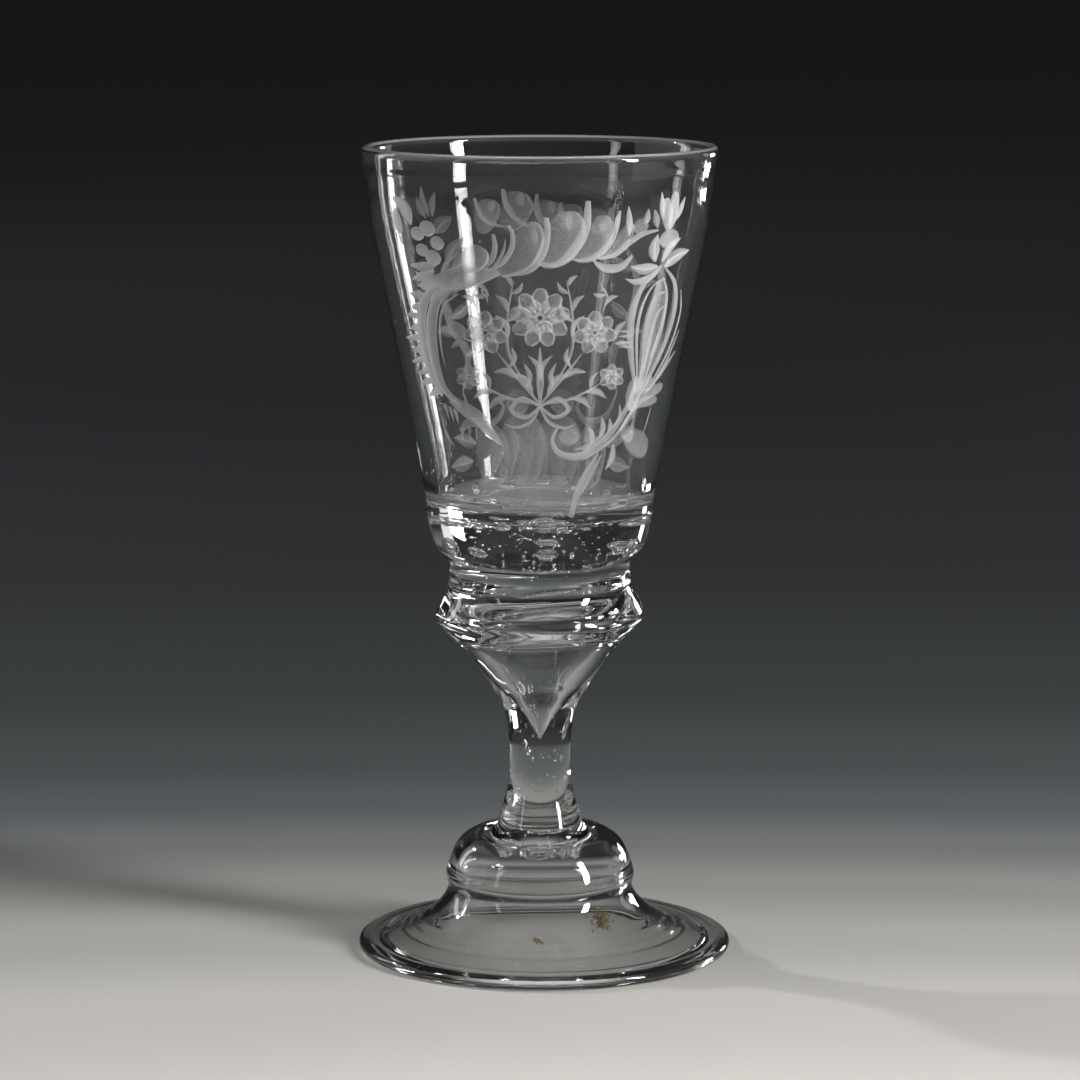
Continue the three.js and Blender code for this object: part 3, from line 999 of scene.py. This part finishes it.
# Bowl base: the second gather, a thick solid cup that was tooled to a crisp ledge round the bowl.
# Trapped air shows in it as a few large flat bubbles and many small seeds.
BASE_BELLY = (27 * MM, 3.9 * MM)
BASE_HEEL = (24.9 * MM, 1.3 * MM)
BASE_SIDE = (28.3 * MM, 7.6 * MM)
BASE_LEDGE = 0.5 * MM
BASE_LEDGE_ROUND = 0.3 * MM
BASE_SIDE_STEPS = 8
BASE_LEDGE_STEPS = 9
COLLAR_TOP_RADIUS = 23.3 * MM
BASE_BUBBLES = [
    ((-21.8, -12.5, 108.6), (3.0, 2.0, 2.3), 4),
    ((-15.4, -19.5, 108.2), (2.9, 1.2, 1.2), 8),
    ((1.6, -22.0, 111.4), (3.2, 1.4, 0.9), 0),
    ((1.7, -21.0, 108.4), (2.7, 1.6, 1.4), 0),
    ((22.6, -12.0, 108.2), (3.4, 2.2, 2.0), -20),
    ((10.0, 19.0, 110.0), (2.8, 1.4, 1.2), 0),
    ((-8.0, 21.0, 108.0), (3.2, 1.3, 1.4), 0),
    ((1.2, -24.6, 114.7), (2.4, 1.3, 0.7), 0),
    ((2.0, 3.0, 114.6), (2.6, 2.2, 0.8), 2),
    ((-11.5, 8.0, 114.5), (3.2, 1.8, 0.7), -3),
    ((13.6, 10.0, 114.6), (2.4, 1.6, 0.7), 4),
    ((0.6, 17.5, 114.6), (2.9, 1.7, 0.8), 0),
    ((-22.4, 4.5, 114.4), (1.8, 2.6, 0.9), 6),
    ((22.0, -2.0, 114.5), (2.1, 2.8, 0.8), -5),
    ((-8.6, -18.2, 114.6), (1.6, 1.0, 0.6), 0),
    ((10.4, -17.0, 114.5), (1.3, 0.9, 0.5), 0),
    ((-17.0, -15.5, 114.6), (1.2, 1.0, 0.5), 0),
]

base_glass = clear_glass("base glass", drawn_out=(0.6, 0.6, 1), cord_depth=0.04 * MM, haze=0.01, film=0)
base_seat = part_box("bowl_base")[0].z
base_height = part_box("bowl_base")[1].z - base_seat
ledge_radius = BOWL_BASE_RADIUS + BASE_LEDGE
base_side = smooth_line(
    [
        (COLLAR_TOP_RADIUS, 0),
        BASE_HEEL,
        BASE_BELLY,
        BASE_SIDE,
        (ledge_radius, base_height - BASE_LEDGE_ROUND),
    ],
    BASE_SIDE_STEPS,
)
base_ledge = bend(
    base_side[-1],
    (ledge_radius, base_height),
    (ledge_radius - BASE_LEDGE_ROUND, base_height),
    BASE_LEDGE_STEPS,
)
base = turned(
    "bowl_base_glass",
    [
        (seam, raised([(0, 0), (COLLAR_TOP_RADIUS, 0)], base_seat)),
        (base_glass, raised(base_side + base_ledge[1:], base_seat)),
        (base_glass, raised([base_ledge[-1], (BOWL_BASE_RADIUS, base_height)], base_seat)),
        (seam, raised([(BOWL_BASE_RADIUS, base_height), (0, base_height)], base_seat)),
    ],
)
blow_bubbles(base, base_glass, BASE_BUBBLES)
base_top = base_seat + base_height
scatter_seeds(
    base, base_glass, count=300, radii=(2 * MM, 22.4 * MM), sizes=(0.11 * MM, 0.5 * MM),
    heights=(base_seat + 1 * MM, base_top - 0.6 * MM), drawn_out=0.9, seed=5,
)
scatter_seeds(
    base, base_glass, count=120, radii=(3 * MM, 27.5 * MM), sizes=(0.25 * MM, 1.7 * MM),
    heights=(base_top - 1.9 * MM, base_top - 0.7 * MM), drawn_out=0.4, seed=3,
)
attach(base, "root")
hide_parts("bowl_base")


# Neck collar: a short drum of glass with a slight waist, pinched with the jacks.
# It is fused between the bowl base and the knop, and one smooth outline runs on from it
# down the knop and the stem, so each of these gathers takes its own stretch of that outline.
COLLAR_WAIST = (23.5 * MM, 98 * MM)
COLLAR_FLARE = (24 * MM, 94.9 * MM)
KNOP_BROW = (26 * MM, 91.3 * MM)
KNOP_EDGE = (27.2 * MM, 88.3 * MM)
KNOP_CHIN = (25.7 * MM, 85.4 * MM)
KNOP_UNDERSIDE = (22.2 * MM, 82.1 * MM)
STEM_SHOULDER = (17.6 * MM, 77 * MM)
STEM_THROAT = (12.6 * MM, 69.2 * MM)
STEM_FLARE = (9.9 * MM, 64.8 * MM)
STEM_SWELL = (8.85 * MM, 60.7 * MM)
STEM_RISE = (8.2 * MM, 56.2 * MM)
STEM_NECK = (7.95 * MM, 52 * MM)
STEM_SHAFT = (8.4 * MM, 42.9 * MM)
STEM_FOOT_RADIUS = 11.1 * MM
NECK_LEAN = 0.022
TEAR_LEAN = 6
NECK_LEAN_HEIGHT = 90 * MM
NECK_LEAN_REACH = 13 * MM
NECK_SWIRL = 0.9 * MM
NECK_SWIRLS_PER_METRE = 42
TEAR_TIP = (0, 55.7 * MM)
TEAR_SPOTS = [
    (1.7 * MM, 60.4 * MM),
    (3.5 * MM, 64.9 * MM),
    (5.7 * MM, 69.7 * MM),
    (8.2 * MM, 73 * MM),
    (11 * MM, 77 * MM),
    (13.9 * MM, 81 * MM),
    (16.2 * MM, 84.2 * MM),
    (16.8 * MM, 86.3 * MM),
    (15.4 * MM, 88.2 * MM),
    (11.6 * MM, 89.9 * MM),
    (6 * MM, 90.8 * MM),
]
TEAR_ROOF = (0, 91 * MM)
NECK_STEPS = 20
TEAR_STEPS = 12
COLLAR_BUBBLES = [
    ((1.5, -16.5, 96.6), (8.5, 4.0, 0.8), -7),
    ((-7.0, 16.0, 97.6), (7.0, 3.0, 0.7), 5),
]


def stretch(outline, low, high):
    """The stretch of a rising outline between two heights."""
    middle = [spot for spot in outline if low < spot[1] < high]
    return [(radius_at(outline, low), low)] + middle + [(radius_at(outline, high), high)]


def lean(piece):
    """Tips the knop and what adjoins it: it was wound on, so one side sits a little higher."""
    for spot in piece.data.vertices:
        off = min(abs(spot.co.z - NECK_LEAN_HEIGHT) / NECK_LEAN_REACH, 1)
        inward = max(1 - math.hypot(spot.co.x, spot.co.y) / KNOP_EDGE[0], 0)
        drift = NECK_LEAN * (1 + TEAR_LEAN * inward) * spot.co.x
        drift += NECK_SWIRL * noise.noise(spot.co * NECK_SWIRLS_PER_METRE)
        spot.co.z += drift * (1 - off * off) ** 2


stem_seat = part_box("baluster_stem")[0].z
stem_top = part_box("baluster_stem")[1].z
collar_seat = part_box("neck_collar")[0].z
collar_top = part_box("neck_collar")[1].z
neck_outline = smooth_line(
    [
        (STEM_FOOT_RADIUS, stem_seat),
        STEM_SHAFT,
        STEM_NECK,
        STEM_RISE,
        STEM_SWELL,
        STEM_FLARE,
        STEM_THROAT,
        STEM_SHOULDER,
        KNOP_UNDERSIDE,
        KNOP_CHIN,
        KNOP_EDGE,
        KNOP_BROW,
        COLLAR_FLARE,
        COLLAR_WAIST,
        (COLLAR_TOP_RADIUS, collar_top),
    ],
    NECK_STEPS,
)
tear_outline = smooth_line([TEAR_TIP] + TEAR_SPOTS + [TEAR_ROOF], TEAR_STEPS)
neck_glass = clear_glass("neck glass", drawn_out=(0.35, 0.35, 1.6), cord_depth=0.12 * MM, haze=0.01, film=0)
collar_side = stretch(neck_outline, collar_seat, collar_top)
collar = turned(
    "neck_collar_glass",
    [
        (seam, [(0, collar_seat), collar_side[0]]),
        (neck_glass, collar_side),
        (seam, [collar_side[-1], (0, collar_top)]),
    ],
)
blow_bubbles(collar, neck_glass, COLLAR_BUBBLES)
scatter_seeds(
    collar, neck_glass, count=70, radii=(2 * MM, 22.4 * MM), sizes=(0.1 * MM, 0.4 * MM),
    heights=(collar_seat + 0.6 * MM, collar_top - 0.6 * MM), drawn_out=0.8, seed=11,
)
lean(collar)
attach(collar, "root")
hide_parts("neck_collar")


# Shoulder knop: a ring of glass pressed flat on top of the stem.
# The air tear of the stem widens up into it and ends under a shallow roof.
knop_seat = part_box("shoulder_knop")[0].z
knop_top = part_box("shoulder_knop")[1].z
knop_side = stretch(neck_outline, knop_seat, knop_top)
knop_chamber = [spot for spot in reversed(tear_outline) if spot[1] > knop_seat]
knop_chamber.append((radius_at(tear_outline, knop_seat), knop_seat))
knop = turned(
    "shoulder_knop_glass",
    [
        (neck_glass, knop_chamber),
        (seam, [knop_chamber[-1], knop_side[0]]),
        (neck_glass, knop_side),
        (seam, [knop_side[-1], (0, knop_top)]),
    ],
)
scatter_seeds(
    knop, neck_glass, count=60, radii=(18 * MM, 22.4 * MM), sizes=(0.1 * MM, 0.45 * MM),
    heights=(knop_seat + 3 * MM, knop_top - 1.4 * MM), drawn_out=0.7, seed=23,
)
lean(knop)
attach(knop, "root")
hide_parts("shoulder_knop")


# Baluster stem: an inverted baluster drawn out of one gather, solid below.
# A dent pricked in its shoulder and covered by the knop swelled into a conical air tear.
STEM_BUBBLES = [
    ((-2.6, -4.5, 52.6), (0.5, 0.5, 1.0), 0),
    ((6.2, -4.0, 59.0), (0.8, 1.0, 3.4), 14),
    ((-6.4, -5.0, 66.5), (0.7, 0.8, 2.2), -18),
]

stem_glass = clear_glass("stem glass", drawn_out=(1, 1, 0.4), cord_depth=0.05 * MM, haze=0.01, film=0)
stem_side = stretch(neck_outline, stem_seat, stem_top)
tear = [(radius_at(tear_outline, stem_top), stem_top)]
tear += [spot for spot in reversed(tear_outline) if spot[1] < stem_top]
stem = turned(
    "baluster_stem_glass",
    [
        (seam, [(0, stem_seat), stem_side[0]]),
        (stem_glass, stem_side),
        (seam, [stem_side[-1], tear[0]]),
        (stem_glass, tear),
    ],
)
blow_bubbles(stem, stem_glass, STEM_BUBBLES)
scatter_seeds(
    stem, stem_glass, count=90, radii=(2.2 * MM, 6.4 * MM), sizes=(0.07 * MM, 0.24 * MM),
    heights=(stem_seat + 2 * MM, stem_seat + 30 * MM), drawn_out=3, seed=31,
)
lean(stem)
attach(stem, "root")
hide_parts("baluster_stem")


# Domed foot: a bubble blown, opened and spun out into a dome, a waist and a sloping brim.
# The rim was folded under while hot, so the edge is of double thickness.
FOOT_RADIUS = 48.7 * MM
FOOT_EDGE_THICKNESS = 2.7 * MM
FOLD_WIDTH = 8 * MM
FOLD_BEVEL = 0.8 * MM
BRIM_THICKNESS = 2.2 * MM
BRIM_FOLD_HEIGHT = 3.9 * MM
BRIM_MID = (33 * MM, 6.7 * MM)
FLARE = (27 * MM, 11.2 * MM)
WAIST = (24.1 * MM, 16 * MM)
DOME = (24.5 * MM, 20.6 * MM)
DOME_SHOULDER = (20.5 * MM, 28.8 * MM)
DOME_WALL = 2.9 * MM
CROWN_THICKNESS = 4.5 * MM
SCAR_SEAT_RADIUS = 13 * MM
SCAR_RADIUS = 12.8 * MM
SCAR_FUSED_RADIUS = 8 * MM
TOOL_RINGS = [
    (30 * MM, 0.1 * MM, 0.9 * MM),
    (33 * MM, 0.18 * MM, 0.9 * MM),
    (36.2 * MM, 0.22 * MM, 0.9 * MM),
    (43.4 * MM, -0.4 * MM, 1.2 * MM),
]
RING_SQUARENESS = 4
BRIM_DRIFT = 1.1 * MM
FOOT_ARC_STEPS = 12
UNDERSIDE_STEPS = 8
FOOT_TOP_STEPS = 30
STONES = [
    ((-0.6, -29.6, 8.1), (0.9, 1.6, 0.5)),
    ((-1.4, -28.8, 8.2), (0.5, 1.2, 0.4)),
    ((0.5, -30.4, 7.9), (0.5, 1.2, 0.35)),
]
STAIN_MIDDLE = (15.6, -21.2, 11.4)
STAIN_SPREAD = (1.2, 0.8, 1.4)
STAIN_SPECKS = 340
SPECK_SIZES = (0.07, 0.22)
SPECK_DRAWN_OUT = 1.6
STAIN_SEED = 17
STONE_DARK = (0.035, 0.022, 0.012, 1)
STONE_PALE = (0.27, 0.21, 0.08, 1)
STONE_CRUMB_SCALE = 900
STONE_ROUGHNESS = 0.8

foot_glass = clear_glass("foot glass", drawn_out=(1, 1, 1), cord_depth=0.05 * MM, haze=0.02, film=0.004)
foot_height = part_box("domed_foot")[1].z
fold_radius = FOOT_RADIUS - FOLD_WIDTH
edge_round = FOOT_EDGE_THICKNESS / 2
rest_radius = FOOT_RADIUS - edge_round
crown_underside = foot_height - CROWN_THICKNESS
hollow_radius = DOME[0] - DOME_WALL
flare_step = BRIM_THICKNESS * math.sqrt(0.5)
hollow = arc(
    (SCAR_SEAT_RADIUS, DOME[1]),
    hollow_radius - SCAR_SEAT_RADIUS,
    crown_underside - DOME[1],
    90,
    0,
    FOOT_ARC_STEPS,
)
underside = smooth_line(
    [
        hollow[-1],
        (WAIST[0] - DOME_WALL, WAIST[1]),
        (FLARE[0] - flare_step, FLARE[1] - flare_step),
        (BRIM_MID[0], BRIM_MID[1] - BRIM_THICKNESS),
        (fold_radius, BRIM_FOLD_HEIGHT - BRIM_THICKNESS),
    ],
    UNDERSIDE_STEPS,
)
foot_edge = arc((rest_radius, edge_round), edge_round, edge_round, -90, 90, FOOT_ARC_STEPS)
foot_top = smooth_line(
    [
        foot_edge[-1],
        (fold_radius, BRIM_FOLD_HEIGHT),
        BRIM_MID,
        FLARE,
        WAIST,
        DOME,
        DOME_SHOULDER,
        (STEM_FOOT_RADIUS, foot_height),
    ],
    FOOT_TOP_STEPS,
)
tooled_top = []
for radius, height in foot_top:
    for middle, rise, reach in TOOL_RINGS:
        off = (radius - middle) / reach
        height += rise / (1 + off**RING_SQUARENESS) if radius > FLARE[0] else 0
    tooled_top.append((radius, height))
foot = turned(
    "domed_foot_glass",
    [
        (seam, [(0, crown_underside), (SCAR_FUSED_RADIUS, crown_underside)]),
        (foot_glass, [(SCAR_FUSED_RADIUS, crown_underside)] + hollow + underside[1:]),
        (foot_glass, [underside[-1], (fold_radius + FOLD_BEVEL, 0)]),
        (foot_glass, [(fold_radius + FOLD_BEVEL, 0)] + foot_edge + tooled_top[1:]),
        (seam, [(STEM_FOOT_RADIUS, foot_height), (0, foot_height)]),
    ],
)
for spot in foot.data.vertices:
    outness = (math.hypot(spot.co.x, spot.co.y) - WAIST[0]) / (fold_radius - WAIST[0])
    if spot.co.z < WAIST[1]:
        spot.co.x += BRIM_DRIFT * min(max(outness, 0), 1)
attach(foot, "root")
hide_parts("domed_foot")


def burnt_stone():
    """A speck of furnace brick or rust that never melted, brown and crumbly."""
    material, add = new_material("burnt stone")
    place = add("ShaderNodeTexCoord").outputs["Object"]
    crumbs = add(
        "ShaderNodeTexNoise",
        {"Vector": place, "Scale": STONE_CRUMB_SCALE, "Detail": 3, "Roughness": 0.7},
    )
    tone = add("ShaderNodeValToRGB", {"Fac": crumbs.outputs["Fac"]})
    tone.color_ramp.elements[0].color = STONE_DARK
    tone.color_ramp.elements[1].color = STONE_PALE
    surface = add(
        "ShaderNodeBsdfPrincipled",
        {"Base Color": tone.outputs["Color"], "Roughness": STONE_ROUGHNESS},
    )
    add("ShaderNodeOutputMaterial", {"Surface": surface.outputs["BSDF"]})
    return material


chance = random.Random(STAIN_SEED)
stone_mesh = bpy.data.meshes.new("foot_stones")
stone_mesh.materials.append(burnt_stone())
grit = bmesh.new()
specks = list(STONES)
for speck in range(STAIN_SPECKS):
    spot = [chance.gauss(middle, spread) for middle, spread in zip(STAIN_MIDDLE, STAIN_SPREAD)]
    size = chance.uniform(*SPECK_SIZES)
    specks.append((spot, (size, size, size * SPECK_DRAWN_OUT)))
for middle, size in specks:
    place = Matrix.Translation(Vector(middle) * MM) @ Matrix.Diagonal((*(Vector(size) * MM), 1))
    bmesh.ops.create_icosphere(grit, subdivisions=1, radius=1, matrix=place)
grit.to_mesh(stone_mesh)
grit.free()
stones = shown("foot_stones", stone_mesh)
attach(stones, "root")


# Pontil scar: the wad of glass that stayed under the crown when the pontil iron was cracked off.
# It is fused to the crown above, and its underside is all sharp broken facets.
SCAR_RINGS = 26
SCAR_SPOKES = 104
SCAR_LEAST = 0.3 * MM
SCAR_RAGGED = 0.3
SCAR_CHIPS = 22
SCAR_CHIP_DEPTHS = (0.25, 0.8)
SCAR_TILT = 0.6
SCAR_EDGE_STEEPNESS = 5
SCAR_RAGS = 3
SCAR_RIPPLE = 0.15 * MM
SCAR_RIPPLE_LENGTH = 1.5 * MM
SCAR_SEED = 9

scar_glass = clear_glass("scar glass", drawn_out=(1, 1, 1), cord_depth=0.02 * MM, haze=0.03, film=0)
scar_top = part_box("pontil_scar")[1].z
scar_depth = scar_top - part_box("pontil_scar")[0].z
chance = random.Random(SCAR_SEED)
chips = []
for chip in range(SCAR_CHIPS):
    turn = chance.uniform(0, FULL_TURN)
    reach = SCAR_RADIUS * math.sqrt(chance.random())
    middle = Vector((reach * math.cos(turn), reach * math.sin(turn)))
    tip = Vector((chance.uniform(-1, 1), chance.uniform(-1, 1))) * SCAR_TILT
    depth = chance.uniform(*SCAR_CHIP_DEPTHS) * scar_depth
    chips.append((middle, depth, tip, middle - tip * SCAR_RADIUS))


def broken(spot, share):
    """How far the wad hangs down at a spot: the tilted face of the nearest chip, with curved ripples.
    Share is how far out the spot is on the way to the edge, where the wad thins."""
    middle, fall, tip, origin = min(chips, key=lambda chip: (chip[0] - spot).length)
    ripple = SCAR_RIPPLE * math.sin(FULL_TURN * (spot - origin).length / SCAR_RIPPLE_LENGTH)
    fall += tip.dot(spot - middle) + ripple
    return min(max(fall * min(SCAR_EDGE_STEEPNESS * (1 - share), 1), SCAR_LEAST), scar_depth)


scar_mesh = bpy.data.meshes.new("pontil_scar_glass")
scar_mesh.materials.append(seam)
scar_mesh.materials.append(scar_glass)
wad = bmesh.new()
fused_rim = []
outer = []
reaches = []
for i in range(SCAR_SPOKES):
    turn = FULL_TURN * i / SCAR_SPOKES
    facing = Vector((math.cos(turn), math.sin(turn), 0))
    reaches.append(facing * SCAR_RADIUS * (1 - SCAR_RAGGED * abs(noise.noise(facing * SCAR_RAGS))))
    fused_rim.append(wad.verts.new(facing * SCAR_FUSED_RADIUS + Vector((0, 0, scar_top))))
    outer.append(wad.verts.new(reaches[i] + Vector((0, 0, scar_top))))
wad.faces.new(fused_rim)
for i in range(SCAR_SPOKES):
    wad.faces.new((fused_rim[i - 1], fused_rim[i], outer[i], outer[i - 1])).material_index = 1
for ring in range(SCAR_RINGS - 1, 0, -1):
    inner = []
    for i in range(SCAR_SPOKES):
        spot = reaches[i] * ring / SCAR_RINGS
        fall = broken(spot.to_2d(), ring / SCAR_RINGS)
        inner.append(wad.verts.new((spot.x, spot.y, scar_top - fall)))
    for i in range(SCAR_SPOKES):
        wad.faces.new((outer[i - 1], outer[i], inner[i], inner[i - 1])).material_index = 1
    outer = inner
heart = wad.verts.new((0, 0, scar_top - broken(Vector((0, 0)), 0)))
for i in range(SCAR_SPOKES):
    wad.faces.new((outer[i - 1], outer[i], heart)).material_index = 1
bmesh.ops.recalc_face_normals(wad, faces=wad.faces)
wad.to_mesh(scar_mesh)
wad.free()
scar = shown("pontil_scar_glass", scar_mesh)
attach(scar, "root")
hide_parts("pontil_scar")


# Studio: a floor painted with a pool of light, pale round the glass and fading into the dark behind, and lit
# by soft boxes.
# The floor keeps the shadow of the glass and shows through it.
FLOOR_RADIUS = 12
FLOOR_SIDES = 96
FLOOR_DROP = 0.2 * MM
PAINTED_POOL_CENTRE = (0, -0.25, 0)
PAINTED_POOL_WIDTH_SHARE = 0.5
MIRROR_LOSS = 0.65
CEILING_SIDE = (0, 0, 1)
CEILING_STARTS = 0.74
CEILING_FULL = 1
ROOM_DARK = (0.0082, 0.0082, 0.0084, 1)
ROOM_PALE = (0.6, 0.6, 0.61, 1)
# The floor's colour by distance from the pool's centre: a painted pool of light, brightest round the glass.
PAINTED_POOL_FADE = [
    (0.1, (0.61, 0.588, 0.556)),
    (0.194, (0.485, 0.469, 0.444)),
    (0.264, (0.353, 0.3445, 0.327)),
    (0.321, (0.241, 0.24, 0.229)),
    (0.371, (0.1485, 0.156, 0.153)),
    (0.424, (0.091, 0.0977, 0.105)),
    (0.484, (0.065, 0.0722, 0.0745)),
    (0.619, (0.0445, 0.0494, 0.0507)),
    (0.882, (0.0325, 0.0344, 0.0371)),
    (1.42, (0.0278, 0.0293, 0.0321)),
    (2.86, (0.054, 0.057, 0.0555)),
    (8.34, (0.0556, 0.0556, 0.055)),
]
WHITE_LAMP_ENERGY = 4
GOBLET_MIDDLE = (0, 0, 0.12)
BOWL_MIDDLE = (0, 0, 0.16)
CAMERA_PLACE = (0, -1.0751, 0.2768)
CAMERA_TILT = 8.94
CAMERA_LENS = 139.7
CAMERA_SENSOR = 36
GLASS_BOUNCES = 24
MIRROR_BOUNCES = 8
SEAM_CROSSINGS = 32
GLINT_LIMIT = 20


def studio_floor():
    """A matt floor with a painted pool of light: pale round the object, fading with distance on a log scale.
    Mirrored in the glass it is dimmer."""
    material, add = new_material("studio floor")
    place = add("ShaderNodeTexCoord").outputs["Object"]
    away = add("ShaderNodeVectorMath", {0: place, 1: PAINTED_POOL_CENTRE}, operation="SUBTRACT")
    wide = add(
        "ShaderNodeVectorMath",
        {0: away.outputs[0], 1: (PAINTED_POOL_WIDTH_SHARE, 1, 1)},
        operation="MULTIPLY",
    )
    distance = add("ShaderNodeVectorMath", {0: wide.outputs[0]}, operation="LENGTH")
    decades = maths(add, "LOGARITHM", distance.outputs["Value"], 10)
    share = add(
        "ShaderNodeMapRange",
        {"Value": decades, "From Min": -1, "From Max": 1, "To Min": 0, "To Max": 1},
    )
    fade = add("ShaderNodeValToRGB", {"Fac": share.outputs["Result"]})
    fade.color_ramp.interpolation = "EASE"
    stops = fade.color_ramp.elements
    stops.remove(stops[1])
    for number, (reach, colour) in enumerate(PAINTED_POOL_FADE):
        stop = stops[0] if number == 0 else stops.new(1)
        stop.position = (math.log10(reach) + 1) / 2
        stop.color = (*colour, 1)
    lit = add("ShaderNodeBsdfDiffuse", {"Color": fade.outputs["Color"]})
    path = add("ShaderNodeLightPath").outputs
    mirrored = maths(add, "SUBTRACT", path["Is Glossy Ray"], path["Is Transmission Ray"], use_clamp=True)
    loss = maths(add, "MULTIPLY", mirrored, MIRROR_LOSS)
    dark = add("ShaderNodeBsdfDiffuse", {"Color": (0, 0, 0, 1)})
    surface = add("ShaderNodeMixShader", {0: loss, 1: lit.outputs[0], 2: dark.outputs[0]})
    add("ShaderNodeOutputMaterial", {"Surface": surface.outputs[0]})
    return material


bpy.ops.mesh.primitive_circle_add(vertices=FLOOR_SIDES, radius=FLOOR_RADIUS, fill_type="NGON")
floor = bpy.context.object
floor.name = "studio_floor"
floor.location.z = -FLOOR_DROP
floor.data.materials.append(studio_floor())


def studio_world():
    """The room: dark all round, with a pale ceiling straight above."""
    world = bpy.data.worlds.new("studio air")
    world.use_nodes = True
    world.node_tree.nodes.clear()
    add = node_maker(world.node_tree)
    toward = add("ShaderNodeTexCoord").outputs["Generated"]
    rise = add("ShaderNodeVectorMath", {0: toward, 1: CEILING_SIDE}, operation="DOT_PRODUCT")
    height = add(
        "ShaderNodeMapRange",
        {"Value": rise.outputs["Value"], "From Min": CEILING_STARTS, "From Max": CEILING_FULL},
        interpolation_type="SMOOTHSTEP",
    ).outputs["Result"]
    dark = add("ShaderNodeBackground", {"Color": ROOM_DARK, "Strength": 1})
    pale = add("ShaderNodeBackground", {"Color": ROOM_PALE, "Strength": 1})
    air = add("ShaderNodeMixShader", {0: height, 1: dark.outputs[0], 2: pale.outputs[0]})
    add("ShaderNodeOutputWorld", {"Surface": air.outputs[0]})
    return world


bpy.context.scene.world = studio_world()


def soft_box(name, place, aim, width, height, brightness, shows=True):
    """A rectangular soft box, whose face has the given brightness, where 1 is white.
    One that doesn't show lights the scene, but isn't seen through the glass."""
    lamp = bpy.data.lights.new(name, "AREA")
    lamp.shape = "RECTANGLE"
    lamp.size = width
    lamp.size_y = height
    lamp.energy = WHITE_LAMP_ENERGY * width * height * brightness
    holder = bpy.data.objects.new(name, lamp)
    holder.location = place
    holder.rotation_euler = (Vector(aim) - Vector(place)).to_track_quat("-Z", "Y").to_euler()
    holder.visible_camera = False
    holder.visible_transmission = shows
    bpy.context.collection.objects.link(holder)


soft_box("key_box", (1.12, -0.62, 0.66), GOBLET_MIDDLE, 0.19, 0.6, 63)
soft_box("left_strip", (-1.02, -0.72, 0.55), GOBLET_MIDDLE, 0.12, 0.6, 2.5)
soft_box("left_panel", (-1.6, 0.35, 0.8), GOBLET_MIDDLE, 2, 1.6, 0.5, shows=False)
soft_box("left_rear_strip", (-1.36, 0.85, 0.55), GOBLET_MIDDLE, 0.2, 0.7, 3)
soft_box("right_rear_strip", (0.93, 1.3, 0.2), BOWL_MIDDLE, 0.26, 0.34, 12)
soft_box("right_rear_card", (1.14, 1.13, 0.42), GOBLET_MIDDLE, 0.3, 0.5, 0.7)
soft_box("spark_box", (-1.47, 0.9, 1.1), GOBLET_MIDDLE, 0.08, 0.08, 600)

camera_lens = bpy.data.cameras.new("camera")
camera_lens.sensor_width = CAMERA_SENSOR
camera_lens.lens = CAMERA_LENS
camera = bpy.data.objects.new("camera", camera_lens)
camera.location = CAMERA_PLACE
camera.rotation_euler = (math.radians(90 - CAMERA_TILT), 0, 0)
bpy.context.collection.objects.link(camera)
bpy.context.scene.camera = camera
bpy.context.scene.view_settings.view_transform = "Standard"
cycles = bpy.context.scene.cycles
cycles.max_bounces = GLASS_BOUNCES
cycles.transmission_bounces = GLASS_BOUNCES
cycles.glossy_bounces = MIRROR_BOUNCES
cycles.transparent_max_bounces = SEAM_CROSSINGS
cycles.sample_clamp_indirect = GLINT_LIMIT
